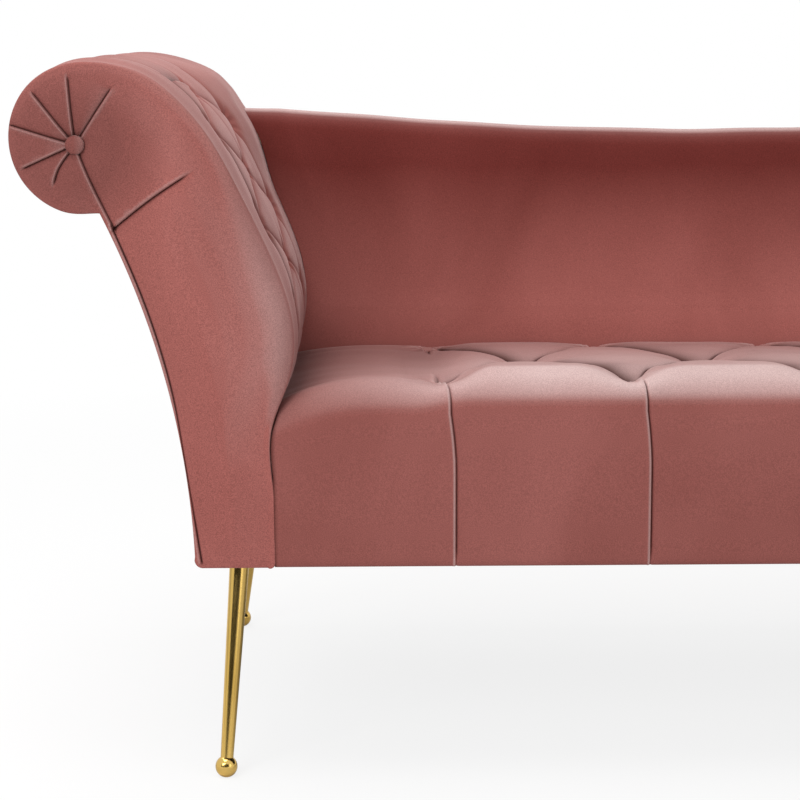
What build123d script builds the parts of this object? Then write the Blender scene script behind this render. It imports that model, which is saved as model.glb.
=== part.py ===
"""Chaise longue with one scroll arm: timber frame, springs, padding, tufted covers and metal legs.

Millimetres. X runs along the length with the arm at the low end, Y from front to rear, Z up.
The origin is on the floor, in the middle of the footprint.
"""

import os
from math import acos, cos, degrees, hypot, pi, radians, sin, sqrt

from build123d import *

os.makedirs("parts", exist_ok=True)

# Overall size
overall_length = 1700
overall_depth = 680
underside = 238
end_x = overall_length / 2
front_y = -overall_depth / 2

# Clearance between neighbours that touch in the real piece
gap = 0.3

# Thicknesses of the soft and sheet layers
cover = 4
facing = 22
foam_wrap = 20
board = 18
sheet = 3
dust_sheet = 1.2

# Arm: scroll, flanks and the plane where it meets the seat
scroll_radius = 78
scroll_z = 690
scroll_x = -end_x + scroll_radius
arm_inner_x = scroll_x + 191
arm_outer_x = scroll_x + 105
neck_x = scroll_x + 12
neck_z = scroll_z - scroll_radius
outer_flank = (neck_x + (arm_outer_x - neck_x) * 0.613, (underside + neck_z) / 2 + 40)
arm_end_y = -front_y - facing
arm_cover = 22
tuft_rise = 6
tuft_depth = 14

# Inner profile of the arm, from the top of the scroll down to the seat frame
waist_z = 386
arm_rise = scroll_z - waist_z
crown = (scroll_x, scroll_z + scroll_radius)
roll_top = (scroll_x + 32, crown[1] - 3)
roll_side = (scroll_x + 66, crown[1] - 16)
high_half_row = (scroll_x + 90, scroll_z + 43)
high_row = (scroll_x + 125, scroll_z + 2)
middle_half_row = (scroll_x + 152, waist_z + arm_rise * 0.845)
middle_row = (scroll_x + 176, waist_z + arm_rise * 0.678)
low_half_row = (scroll_x + 197, waist_z + arm_rise * 0.516)
low_row = (scroll_x + 211, waist_z + arm_rise * 0.342)
belly = (scroll_x + 205, waist_z + arm_rise * 0.145)
waist = (scroll_x + 188, waist_z)
tuck_in = (scroll_x + 188, 332)

# Columns of arm tufts, from the front
arm_pitch = 135
arm_columns = [front_y + 120 + arm_pitch * i for i in range(3)]

# Back: thickness and top line
back_rear_y = -front_y - 28
back_front_y = back_rear_y - 122
back_bottom_z = 342
back_slant_from = 425
back_slant = 0.133
back_high = scroll_z + 9
back_dip = scroll_z - 23
back_hump = scroll_z - 19
back_end = 488
back_arm_x = arm_inner_x - 59
back_dip_x = back_arm_x + 565
back_hump_x = back_dip_x + 225
back_round = 40

# Seat tufts: columns along the length, three rows from front to rear
seat_rear_y = back_front_y - 4
seat_wall = 14
end_panel = 210
first_column = arm_inner_x + 176
column_count = 6
column_pitch = (end_x - end_panel - first_column) / (column_count - 1)
row_front = front_y + 95
row_rear = seat_rear_y - 36
row_pitch = (row_rear - row_front) / 2
dip_front = 416
dip_rear = 400
puff = 29
puff_fall = 0.36
end_puff = 0.45
end_rise = 60
seam_depth = 8
seam_shift = 14
front_edge_z = 396
arm_fall = 26
arm_fall_reach = 101

# Seat frame
rail = 22
rail_bottom = underside + 2
rail_top = 330
frame_front_y = front_y + seat_wall
frame_rear_y = back_rear_y - cover - gap
frame_end_x = end_x - seat_wall + 1
frame_arm_x = arm_inner_x + 6
spring_rail_y = seat_rear_y + 13
cross_rail_xs = [arm_inner_x + (end_x - arm_inner_x) * i / 3 for i in (1, 2)]
cross_rail_top = 290
block_length = 84
block_width = 60
block_top = 300

# Springs, felt and foam
spring_count = 8
spring_turns = 17
spring_reach = 26
wire = 4
spring_z = rail_top + wire / 2 + 0.5
clip_size = (30, 12, 6.5)
felt_z = spring_z + wire / 2 + 0.5
foam_z = felt_z + sheet + gap
foam_top = 384

# Legs
leg_top_radius = 11
leg_low_radius = 7
leg_wall = 1.5
ball_radius = 12
ball_flat = 4
front_splay = (15, 50)
rear_splay = (30, 52)
leg_y_front = front_y + 70
leg_y_rear = -front_y - 76
leg_x_arm = arm_outer_x + 44
leg_x_end = end_x - 84
plate_size = 50
plate = 3
dust_top = underside - 0.2
dust_bottom = dust_top - dust_sheet
plate_top = dust_bottom - gap
plate_bottom = plate_top - plate
screw_radius = 2.2
screw_head = (4.2, 1.6)
screw_spacing = 34
screw_length = 30

# Bolts that hold the arm and the back to the seat frame
bolt_radius = 4
bolt_head = (7.5, 5.5)
bolt_play = 0.3
arm_bolt_inset = 19
arm_bolt_y = spring_rail_y - arm_bolt_inset
arm_bolt_ys = (-arm_bolt_y, 0, arm_bolt_y)
arm_bolt_z = 270
arm_bolt_end = arm_outer_x + 42
post_count = 4
post_width = 50
first_post_x = arm_inner_x + 141
post_pitch = (end_x - 190 - first_post_x) / (post_count - 1)
post_xs = [first_post_x + post_pitch * i for i in range(post_count)]
post_front_y = back_rear_y - 65
back_bolt_z = 290

# Covered buttons
button_radius = 10
button_height = 5
button_play = 1
scroll_button = (scroll_x - 12, scroll_z - 7)


def save(builder, label):
    """Name a finished piece and write its file."""
    builder.part.label = label
    export_step(builder.part, f"parts/{label}.step")


def upright(y):
    """Plane facing the front at depth y, with local axes along X and Z."""
    return Plane.XZ.offset(-y)


def block(x0, x1, y0, y1, z0, z1, mode=Mode.ADD):
    """Box between two corners."""
    with Locations(((x0 + x1) / 2, (y0 + y1) / 2, (z0 + z1) / 2)):
        Box(x1 - x0, y1 - y0, z1 - z0, mode=mode)


def arcs(points, bulges):
    """Chain of arcs through points, each pushed to the left of the way by its bulge."""
    for a, b, bulge in zip(points, points[1:], bulges):
        dx, dy = b[0] - a[0], b[1] - a[1]
        length = hypot(dx, dy)
        middle = ((a[0] + b[0]) / 2 - dy / length * bulge, (a[1] + b[1]) / 2 + dx / length * bulge)
        ThreePointArc(a, middle, b)


def on_scroll(radius, angle):
    """Point at an angle on a circle round the centre of the scroll."""
    return (scroll_x + radius * cos(radians(angle)), scroll_z + radius * sin(radians(angle)))


# Inner arm profile with its outward directions
profile = [
    crown, roll_top, roll_side, high_half_row, high_row, middle_half_row,
    middle_row, low_half_row, low_row, belly, waist, tuck_in,
]
full_rows = range(4, 9, 2)
half_rows = range(3, 8, 2)
outward = []
for i in range(len(profile)):
    a = profile[max(i - 1, 0)]
    b = profile[min(i + 1, len(profile) - 1)]
    span = hypot(b[0] - a[0], b[1] - a[1])
    outward.append((-(b[1] - a[1]) / span, (b[0] - a[0]) / span))
outward[0] = (0, 1)


def profile_point(i, offset):
    """Point of the inner arm profile moved outward by an offset."""
    return (profile[i][0] + outward[i][0] * offset, profile[i][1] + outward[i][1] * offset)


def inset_profile(offset, first=0):
    """Inner arm profile moved inward, from the scroll down."""
    return [profile_point(i, -offset) for i in range(first, len(profile))]


def flank(offset):
    """Outer flank of the arm, moved inward, from the neck down to the underside."""
    ThreePointArc(
        (neck_x + offset, neck_z),
        (outer_flank[0] + offset, outer_flank[1]),
        (arm_outer_x + offset, underside),
    )


def scroll_arcs(radius):
    """Scroll from its bottom over the outside to its top."""
    ThreePointArc(on_scroll(radius, 270), on_scroll(radius, 225), on_scroll(radius, 180))
    ThreePointArc(on_scroll(radius, 180), on_scroll(radius, 135), on_scroll(radius, 90))


# Space kept free for the arm when the seat and the back are fitted against it
arm_margin = 10
arm_space = [(-2 * end_x, 0), (arm_inner_x + gap, 0), (arm_inner_x + gap, waist[1])]
arm_space += [profile_point(i, arm_margin) for i in range(9, -1, -1)]
arm_space += [(-2 * end_x, scroll_z + scroll_radius + arm_margin)]


def clear_arm():
    """Cut away whatever reaches into the space of the arm."""
    with BuildSketch(upright(2 * front_y)) as space:
        with BuildLine():
            Polyline(*arm_space, close=True)
        make_face()
    extrude(space.sketch, amount=4 * front_y, mode=Mode.SUBTRACT)


def back_top(x):
    """Height of the top line of the back."""
    if x < back_dip_x:
        return back_dip + (back_high - back_dip) * ((back_dip_x - x) / (back_dip_x - back_arm_x)) ** 1.5
    if x < back_hump_x:
        t = (x - back_dip_x) / (back_hump_x - back_dip_x)
        return back_dip + (back_hump - back_dip) * (1 - cos(pi * t)) / 2
    t = min(1, (x - back_hump_x) / (end_x - back_hump_x))
    return back_hump + (back_end - back_hump) * (1 - cos(pi * t)) / 2


def back_line(drop, x0, x1):
    """Curve that follows the top line of the back, lowered by a drop."""
    count = 12
    xs = [x0 + (x1 - x0) * i / count for i in range(count + 1)]
    Spline(*[(x, back_top(x) - drop) for x in xs])


def back_front(z):
    """Depth of the front of the back at a height."""
    return back_front_y + max(0, z - back_slant_from) * back_slant


def back_rim(top, inset):
    """Front, top and rear of a section of the back, moved inward, from the lower front edge."""
    shoulder = top - 32
    lean = back_front(shoulder)
    crest_y = back_rear_y - back_round
    Polyline(
        (back_front_y + inset, back_bottom_z), (back_front_y + inset, back_slant_from),
        (lean + inset, shoulder),
    )
    ThreePointArc(
        (lean + inset, shoulder), (lean + 12 + inset * 0.7, top - 10 - inset * 0.7),
        (crest_y, top - inset),
    )
    turn = (back_round - inset) * sqrt(0.5)
    ThreePointArc(
        (crest_y, top - inset), (crest_y + turn, top - back_round + turn),
        (back_rear_y - inset, top - back_round),
    )


# Stations along the back
end_facing = 12
back_steps = 17
back_span = (back_arm_x - 5, end_x - end_facing - gap)
back_xs = [back_span[0] + (back_span[1] - back_span[0]) * i / back_steps for i in range(back_steps + 1)]
back_hem = 60
foam_gap = 2


def seat_puff(x, v):
    """Share of the full tuft height at a station; v counts the rows from the front."""
    u = (x - first_column) / column_pitch
    if u < 0 or u > column_count - 1:
        away = max(-u, u - column_count + 1) * column_pitch
        rise = sin(pi / 2 * min(1, away / end_rise))
        return end_puff * (max(rise, 0.7) if 0.25 < v < 1.75 else rise)
    if v < 0 or v > 2:
        return abs(sin(pi * u)) ** 0.7
    share = sqrt(abs(sin(pi * (u + v / 2)) * sin(pi * (u - v / 2))))
    if u < 0.01 or u > column_count - 1.01:
        return min(share, 0.7 * end_puff)
    return share


def dip(v):
    """Height of the bottom of a tuft in a row."""
    return dip_front + (dip_rear - dip_front) * v / 2


def puff_height(v):
    """Height of a full tuft in a row, less towards the rear."""
    return puff * (1 - puff_fall * v)


def seat_end_drop(x):
    """Rounding of the seat at the foot end."""
    t = max(0, x - end_x + 40) / 40
    return 20 * (1 - sqrt(max(0, 1 - t * t)))


def seat_arm_drop(x, v):
    """Fall of the end panel towards the arm, less in the rows further back."""
    t = max(0, arm_inner_x + arm_fall_reach - x) / arm_fall_reach
    return arm_fall * t * t * (1 - 0.3 * max(v, 0))


# Bulge of each stretch of the seat's outline, from the lower front edge
seat_bulges = (2, 3, 12, 3, 3, 3, 3, 3, 3)


def seat_outline(x):
    """Outline of the seat at a station, from the lower front edge over the top to the rear."""
    front = seat_puff(x - seam_shift, -0.5)
    end = seat_end_drop(x)
    drop = end + seat_arm_drop(x, 0)
    face_y = front_y + seat_bulges[1] + seam_depth * (1 - front) + end
    points = [
        (face_y + 8, underside), (face_y, underside + 12), (face_y, front_edge_z + 8 * front - drop),
        (front_y + 50, dip_front - 2 + (puff - 3) * front - drop),
    ]
    for v in (0, 0.5, 1, 1.5, 2):
        height = dip(v) + puff_height(v) * seat_puff(x, v)
        points.append((row_front + v * row_pitch, height - end - seat_arm_drop(x, v)))
    height = dip_rear - 6 + puff_height(2) / 2 * seat_puff(x, 2.2)
    points.append((seat_rear_y, height - end - seat_arm_drop(x, 2)))
    return points


# Stations along the seat: the panel by the arm, the tufts with their seams, the rounded foot end
seat_start = arm_inner_x - 10
last_column = first_column + column_pitch * (column_count - 1)
seat_xs = [seat_start + (first_column - seat_start) * i / 6 for i in range(6)]
seat_xs += [first_column + column_pitch * i / 6 for i in range(6 * column_count - 5)]
seat_xs += [first_column + column_pitch * i + seam_shift for i in range(column_count)]
seat_xs += [last_column + end_panel * i / 7 for i in (1, 2, 3, 4)]
seat_xs += [end_x - 40, end_x - 24, end_x - 8, end_x]
seat_xs.sort()

# Button seats on the seat: point on the bottom of each dip
seat_button_points = []
for i in range(column_count):
    x = first_column + column_pitch * i
    seat_button_points += [(x, row_front, dip(0) - 2), (x, row_rear, dip(2) - 2)]
    if i < column_count - 1:
        seat_button_points.append((x + column_pitch / 2, row_front + row_pitch, dip(1) - 2))

# Button seats on the arm: planes on the bottom of each dip, facing outward
arm_button_planes = []
for i, y in enumerate(arm_columns):
    for row in half_rows if i == 1 else full_rows:
        x, z = profile_point(row, -tuft_depth - 2)
        arm_button_planes.append(Plane((x, y, z), z_dir=(outward[row][0], 0, outward[row][1])))

# Leg positions: top centre and how far the foot stands out from it
legs = {
    "front_arm": (leg_x_arm, leg_y_front, -front_splay[0], -front_splay[1]),
    "rear_arm": (leg_x_arm, leg_y_rear, -rear_splay[0], rear_splay[1]),
    "front_end": (leg_x_end, leg_y_front, front_splay[0], -front_splay[1]),
    "rear_end": (leg_x_end, leg_y_rear, rear_splay[0], rear_splay[1]),
}
plate_centres = [(x, y) for x, y, _, _ in legs.values()]
screw_points = []
for x, y in plate_centres:
    for sx in (-1, 1):
        for sy in (-1, 1):
            screw_points.append((x + sx * screw_spacing / 2, y + sy * screw_spacing / 2))


def screw_holes(radius):
    """Holes for the leg screws through whatever lies above the plates."""
    with Locations(*[(x, y, plate_bottom) for x, y in screw_points]):
        Cylinder(radius, screw_length, align=(Align.CENTER, Align.CENTER, Align.MIN), mode=Mode.SUBTRACT)


def arm_bolt_holes():
    """Holes for the bolts between arm and seat frame."""
    for y in arm_bolt_ys:
        with BuildSketch(Plane.YZ.offset(arm_bolt_end)) as hole:
            with Locations((y, arm_bolt_z)):
                Circle(bolt_radius + bolt_play)
        extrude(hole.sketch, amount=120, mode=Mode.SUBTRACT)


def back_bolt_holes():
    """Holes for the bolts between back posts and rear rail."""
    for x in post_xs:
        with BuildSketch(upright(post_front_y - 1)) as hole:
            with Locations((x, back_bolt_z)):
                Circle(bolt_radius + bolt_play)
        extrude(hole.sketch, amount=-100, mode=Mode.SUBTRACT)


# Seat frame rails
rail_rear_y = frame_rear_y - rail
end_rail_x = frame_end_x - gap - rail
arm_rail_x = frame_arm_x + gap

with BuildPart() as front_rail:
    block(
        arm_rail_x, end_rail_x + rail, frame_front_y + gap, frame_front_y + gap + rail,
        rail_bottom, rail_top,
    )
save(front_rail, "front_rail")

with BuildPart() as rear_rail:
    block(arm_rail_x, end_rail_x + rail, rail_rear_y, frame_rear_y, rail_bottom, rail_top)
    back_bolt_holes()
save(rear_rail, "rear_rail")

inner_front_y = frame_front_y + rail + 2 * gap
inner_rear_y = rail_rear_y - gap

with BuildPart() as arm_end_rail:
    block(arm_rail_x, arm_rail_x + rail, inner_front_y, inner_rear_y, rail_bottom, rail_top)
    arm_bolt_holes()
save(arm_end_rail, "arm_end_rail")

with BuildPart() as foot_end_rail:
    block(end_rail_x, end_rail_x + rail, inner_front_y, inner_rear_y, rail_bottom, rail_top)
save(foot_end_rail, "foot_end_rail")

inner_arm_x = arm_rail_x + rail + gap
inner_end_x = end_rail_x - gap

with BuildPart() as spring_rail:
    block(inner_arm_x, inner_end_x, spring_rail_y, spring_rail_y + rail, rail_bottom, rail_top)
save(spring_rail, "spring_rail")

with BuildPart() as cross_rails:
    for x in cross_rail_xs:
        block(x, x + rail, inner_front_y, spring_rail_y - gap, rail_bottom, cross_rail_top)
save(cross_rails, "cross_rails")

with BuildPart() as corner_blocks:
    for y in (inner_front_y, inner_rear_y - block_width):
        block(inner_arm_x, inner_arm_x + block_length, y, y + block_width, rail_bottom, block_top)
        block(inner_end_x - block_length, inner_end_x, y, y + block_width, rail_bottom, block_top)
    screw_holes(screw_radius + 0.1)
save(corner_blocks, "corner_blocks")

# Sinuous springs from the front rail to the spring rail, with their clips
spring_start = frame_front_y + gap + rail / 2
spring_end = spring_rail_y + rail / 2
turn_pitch = (spring_end - spring_start) / spring_turns
spring_gap = (inner_end_x - inner_arm_x) / spring_count
spring_xs = [inner_arm_x + spring_gap * (i + 0.5) for i in range(spring_count)]

with BuildPart() as seat_springs:
    for x in spring_xs:
        with BuildLine() as path:
            for i in range(spring_turns + 1):
                side = 1 if i % 2 else -1
                y = spring_start + turn_pitch * i
                Line((x + side * spring_reach, y, spring_z), (x - side * spring_reach, y, spring_z))
                if i < spring_turns:
                    ThreePointArc(
                        (x - side * spring_reach, y, spring_z),
                        (x - side * (spring_reach + turn_pitch / 2), y + turn_pitch / 2, spring_z),
                        (x - side * spring_reach, y + turn_pitch, spring_z),
                    )
        with BuildSketch(Plane((x - spring_reach, spring_start, spring_z), z_dir=(1, 0, 0))):
            Circle(wire / 2)
        sweep(path=path.wire())
save(seat_springs, "seat_springs")

slot = wire / 2 + gap
with BuildPart() as spring_clips:
    for x in spring_xs:
        for y, inside in ((spring_start, 1), (spring_end, -1)):
            half = clip_size[1] / 2
            block(
                x - clip_size[0] / 2, x + clip_size[0] / 2, y - half, y + half,
                rail_top + 0.05, rail_top + clip_size[2],
            )
            ends = sorted((y - inside * slot, y + inside * (half + 1)))
            block(
                x - clip_size[0], x + clip_size[0], ends[0], ends[1],
                spring_z - slot + 0.1, spring_z + slot, mode=Mode.SUBTRACT,
            )
save(spring_clips, "spring_clips")

with BuildPart() as spring_felt:
    block(inner_arm_x + 2, inner_end_x - 2, inner_front_y + 6, seat_rear_y - 6, felt_z, felt_z + sheet)
save(spring_felt, "spring_felt")

# Seat foam
with BuildPart() as seat_foam:
    block(frame_arm_x + 3, frame_end_x - 3, frame_front_y + 4, seat_rear_y - 4, foam_z, foam_top)
    fillet(seat_foam.edges().group_by(Axis.Z)[-1], 12)
save(seat_foam, "seat_foam")

# Seat cover with its quilted wadding: crowned puffs, dips for the buttons, pleats down the front
with BuildPart() as seat_cover:
    for x in seat_xs:
        outline = seat_outline(x)
        with BuildSketch(Plane.YZ.offset(x)):
            with BuildLine():
                arcs(outline, seat_bulges)
                Polyline(outline[-1], (seat_rear_y, underside), outline[0])
            make_face()
    loft(ruled=True)
    block(
        frame_arm_x, frame_end_x, frame_front_y, seat_rear_y - sheet,
        rail_bottom - gap, foam_top + gap, mode=Mode.SUBTRACT,
    )
    block(
        frame_arm_x + 25, frame_end_x - 25, frame_front_y + 25, seat_rear_y + 1,
        underside - 1, rail_bottom, mode=Mode.SUBTRACT,
    )
    block(
        frame_arm_x, frame_end_x, seat_rear_y - 10, seat_rear_y + 1,
        underside - 1, felt_z, mode=Mode.SUBTRACT,
    )
    clear_arm()
    arm_bolt_holes()
    with Locations(*seat_button_points):
        Cylinder(
            button_radius + button_play, puff + 10,
            align=(Align.CENTER, Align.CENTER, Align.MIN), mode=Mode.SUBTRACT,
        )
save(seat_cover, "seat_cover")

# Domed buttons: caps of a sphere with the wanted radius and height
dome_radius = (button_radius**2 + button_height**2) / (2 * button_height)
dome_angle = degrees(acos(button_radius / dome_radius))
on_base = (Align.CENTER, Align.CENTER, Align.MIN)

with BuildPart() as seat_buttons:
    with Locations(*seat_button_points):
        Sphere(dome_radius, arc_size1=dome_angle, align=on_base)
save(seat_buttons, "seat_buttons")

# Arm frame: two shaped boards joined by rails and the tube of the roll
board_inset = arm_cover + 1
board_scroll = scroll_radius - board_inset
flank_inset = cover + sheet + 2 * gap


def arm_board(y):
    """Shaped board of the arm with its front face at depth y."""
    inner = inset_profile(board_inset)
    with BuildSketch(upright(y)) as shape:
        with BuildLine():
            scroll_arcs(board_scroll)
            Polyline(
                on_scroll(board_scroll, 90), *inner[1:],
                (arm_inner_x - board_inset, rail_bottom), (arm_outer_x + flank_inset, rail_bottom),
                (arm_outer_x + flank_inset, underside),
            )
            flank(flank_inset)
            Polyline(
                (neck_x + flank_inset, neck_z),
                (neck_x + flank_inset, scroll_z - board_scroll), on_scroll(board_scroll, 270),
            )
        make_face()
    extrude(shape.sketch, amount=-board)
    block(-end_x, 0, y - 1, y + board + 1, underside - 1, rail_bottom, mode=Mode.SUBTRACT)


board_front_y = -arm_end_y
board_rear_y = arm_end_y - board
inside_y = board_rear_y - gap

with BuildPart() as arm_front_board:
    arm_board(board_front_y)
save(arm_front_board, "arm_front_board")

with BuildPart() as arm_rear_board:
    arm_board(board_rear_y)
save(arm_rear_board, "arm_rear_board")

with BuildPart() as arm_bottom_rail:
    block(arm_outer_x + 12, arm_inner_x, -inside_y, inside_y, rail_bottom, block_top)
    screw_holes(screw_radius + 0.1)
    arm_bolt_holes()
save(arm_bottom_rail, "arm_bottom_rail")

# Stretchers of the arm: low, under the scroll and inside the scroll
stretchers = (
    (scroll_x + 100, scroll_x + 130, waist_z + 14, waist_z + 54),
    (scroll_x + 57, scroll_x + 107, neck_z - 52, neck_z - 30),
    (scroll_x + 47, scroll_x + 81, scroll_z - 42, scroll_z - 20),
)

with BuildPart() as arm_stretchers:
    for x0, x1, z0, z1 in stretchers:
        block(x0, x1, -inside_y, inside_y, z0, z1)
save(arm_stretchers, "arm_stretchers")

tube_radius = scroll_radius - arm_cover - foam_wrap - gap
with BuildPart() as arm_roll_tube:
    with BuildSketch(upright(-inside_y)):
        with Locations((scroll_x, scroll_z)):
            Circle(tube_radius)
            Circle(tube_radius - 5, mode=Mode.SUBTRACT)
    extrude(amount=-2 * inside_y)
save(arm_roll_tube, "arm_roll_tube")


def profile_strip(outer, inner, y0, y1, first):
    """Layer that follows the inner arm profile between two depths."""
    with BuildSketch(upright(y0)) as strip:
        with BuildLine():
            Polyline(*inset_profile(outer, first), *reversed(inset_profile(inner, first)), close=True)
        make_face()
    extrude(strip.sketch, amount=y0 - y1)


panel_outer = arm_cover + foam_wrap + 2 * gap
with BuildPart() as arm_inner_panel:
    profile_strip(panel_outer, panel_outer + sheet, -inside_y, inside_y, 4)
save(arm_inner_panel, "arm_inner_panel")

with BuildPart() as arm_outer_panel:
    with BuildSketch(upright(-arm_end_y)):
        with BuildLine():
            flank(cover + gap)
            flank(cover + gap + sheet)
            Line(
                (neck_x + cover + gap, neck_z),
                (neck_x + cover + gap + sheet, neck_z),
            )
            Line((arm_outer_x + cover + gap, underside), (arm_outer_x + cover + gap + sheet, underside))
        make_face()
    extrude(amount=-2 * arm_end_y)
save(arm_outer_panel, "arm_outer_panel")

pad_outer = arm_cover + gap
pad_inner = arm_cover + foam_wrap
with BuildPart() as arm_padding:
    with BuildSketch(upright(-inside_y)):
        with BuildLine():
            scroll_arcs(scroll_radius - pad_outer)
            Polyline(*inset_profile(pad_outer), *reversed(inset_profile(pad_inner)))
            scroll_arcs(scroll_radius - pad_inner)
            Line(on_scroll(scroll_radius - pad_inner, 270), on_scroll(scroll_radius - pad_outer, 270))
        make_face()
    extrude(amount=-2 * inside_y)
save(arm_padding, "arm_padding")

# Tufted inner cover of the arm: the offset of each row swings between the columns
arm_quarter = arm_pitch / 4
tuft_mean = (tuft_rise - tuft_depth) / 2 + 3
tuft_swing = (tuft_rise + tuft_depth) / 2


def tuft_offsets(y):
    """Offsets of the plain roll, the half rows and the full rows at depth y."""
    swing = tuft_swing * cos(pi * (y - arm_columns[0]) / arm_pitch)
    return tuft_rise, tuft_mean + swing, tuft_mean - swing


edge = 28
first, last = arm_columns[0], arm_columns[-1]
arm_stations = [
    (-arm_end_y, 1, 0, 0), (edge - arm_end_y, 2, 2, 2), (first - 35, 3, 3, 3), (first, 3, -3, -tuft_depth),
]
for i in range(1, 9):
    y = first + arm_quarter * i
    arm_stations.append((y, *tuft_offsets(y)))
arm_stations += [
    (last + 35, 6, 4, 0), (last + 65, 6, 4, 3), (last + 150, 5, 4, 4), (arm_end_y - edge, 2, 2, 2),
    (arm_end_y, 1, 0, 0),
]

with BuildPart() as arm_inner_cover:
    for y, plain, half, full in arm_stations:
        offsets = [plain] * 3 + [half, full] * 3 + [0, 0, 0]
        outer = [profile_point(i, offsets[i]) for i in range(len(profile))]
        with BuildSketch(upright(y)):
            with BuildLine():
                Line((neck_x - gap, neck_z), on_scroll(scroll_radius, 270))
                ThreePointArc(
                    on_scroll(scroll_radius, 270), on_scroll(scroll_radius, 225),
                    on_scroll(scroll_radius, 180),
                )
                ThreePointArc(
                    on_scroll(scroll_radius, 180), on_scroll(scroll_radius + plain / 2, 135), outer[0],
                )
                arcs(outer, [2] * 10 + [0.5])
                Polyline(outer[-1], profile_point(len(profile) - 1, -arm_cover), (neck_x - gap, neck_z))
            make_face()
    loft(ruled=True)
    with BuildSketch(upright(2 * front_y)):
        with BuildLine():
            scroll_arcs(scroll_radius - arm_cover)
            Polyline(
                *inset_profile(arm_cover), (tuck_in[0] - arm_cover, underside), (neck_x, underside),
                (neck_x, neck_z + arm_cover), on_scroll(scroll_radius - arm_cover, 270),
            )
        make_face()
    extrude(amount=4 * front_y, mode=Mode.SUBTRACT)
    for plane in arm_button_planes:
        with Locations(plane):
            Cylinder(button_radius + button_play, 2 * tuft_depth, align=on_base, mode=Mode.SUBTRACT)
save(arm_inner_cover, "arm_inner_cover")

with BuildPart() as arm_buttons:
    for plane in arm_button_planes:
        with Locations(plane):
            Sphere(dome_radius, arc_size1=dome_angle, align=on_base)
save(arm_buttons, "arm_buttons")

with BuildPart() as arm_outer_cover:
    with BuildSketch(upright(-arm_end_y)):
        with BuildLine():
            flank(0)
            flank(cover)
            Line((neck_x, neck_z), (neck_x + cover, neck_z))
            Line((arm_outer_x, underside), (arm_outer_x + cover, underside))
        make_face()
    extrude(amount=-2 * arm_end_y)
save(arm_outer_cover, "arm_outer_cover")

# Facings on the ends of the arm, with pleats round a sunk button
facing_round = 12
pleat_width = 1.6
pleat_depth = 2
pleat_angles = (-60, -12, 38, 96, 140, 168, 205)
pleat_start = button_radius + 3
pleat_end = scroll_radius - facing_round - 4
facing_rim = [
    profile_point(2, 0), profile_point(4, 0), profile_point(6, 0), profile_point(7, 0),
    profile_point(8, 0), belly, waist,
]


def arm_facing(y, way):
    """Padded facing whose show side lies at depth y and faces the given way."""
    with BuildSketch(upright(y)) as shape:
        with BuildLine():
            scroll_arcs(scroll_radius)
            arcs([crown] + facing_rim, (4, 9, 2, 1, 2, 3, 2))
            Polyline(
                waist, (arm_inner_x, tuck_in[1]), (arm_inner_x, underside), (arm_outer_x, underside),
            )
            flank(0)
            Line((neck_x, neck_z), on_scroll(scroll_radius, 270))
        make_face()
    extrude(shape.sketch, amount=way * (facing - gap))


def facing_pleats(y):
    """Narrow pleats that radiate from the button."""
    for angle in pleat_angles:
        direction = (cos(radians(angle)), sin(radians(angle)))
        reach = (pleat_start + pleat_end) / 2
        place = (scroll_button[0] + reach * direction[0], y, scroll_button[1] + reach * direction[1])
        with Locations(Location(place, (0, -angle, 0))):
            Box(pleat_end - pleat_start, 2 * pleat_depth, pleat_width, mode=Mode.SUBTRACT)


def sunk_seat(y, way):
    """Round pocket for the button of the scroll."""
    with BuildSketch(upright(y)) as pocket:
        with Locations(scroll_button):
            Circle(button_radius + button_play)
    extrude(pocket.sketch, amount=way * (button_height + 1), mode=Mode.SUBTRACT)


with BuildPart() as arm_front_facing:
    arm_facing(front_y, -1)
    fillet(arm_front_facing.faces().sort_by(Axis.Y)[0].edges(), facing_round)
    facing_pleats(front_y)
    sunk_seat(front_y, -1)
save(arm_front_facing, "arm_front_facing")

with BuildPart() as arm_rear_facing:
    arm_facing(-front_y, 1)
    fillet(arm_rear_facing.faces().sort_by(Axis.Y)[-1].edges(), facing_round)
    facing_pleats(-front_y)
    sunk_seat(-front_y, 1)
save(arm_rear_facing, "arm_rear_facing")

button_floor = -front_y - button_height - 1
with BuildPart() as scroll_front_button:
    with Locations(Plane((scroll_button[0], -button_floor, scroll_button[1]), z_dir=(0, -1, 0))):
        Sphere(dome_radius, arc_size1=dome_angle, align=on_base)
save(scroll_front_button, "scroll_front_button")

with BuildPart() as scroll_rear_button:
    with Locations(Plane((scroll_button[0], button_floor, scroll_button[1]), z_dir=(0, 1, 0))):
        Sphere(dome_radius, arc_size1=dome_angle, align=on_base)
save(scroll_rear_button, "scroll_rear_button")

# Bolts of the arm: heads on the inside of the end rail
with BuildPart() as arm_bolts:
    for y in arm_bolt_ys:
        with BuildSketch(Plane.YZ.offset(arm_rail_x + rail)):
            with Locations((y, arm_bolt_z)):
                RegularPolygon(bolt_head[0], 6)
        extrude(amount=bolt_head[1])
        with BuildSketch(Plane.YZ.offset(arm_rail_x + rail)):
            with Locations((y, arm_bolt_z)):
                Circle(bolt_radius)
        extrude(amount=arm_bolt_end + 2 - arm_rail_x - rail)
save(arm_bolts, "arm_bolts")

# Back frame
back_start_x = arm_inner_x + 36
back_stop_x = end_x - 16
panel_y = post_front_y - gap - sheet
top_rail_drop = 48
top_rail_height = 66

with BuildPart() as back_posts:
    for x in post_xs:
        half = post_width / 2
        top = min(back_top(x - half), back_top(x + half)) - top_rail_drop - 2
        block(x - half, x + half, post_front_y, rail_rear_y - gap, rail_bottom + 2, top)
    back_bolt_holes()
save(back_posts, "back_posts")

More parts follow.
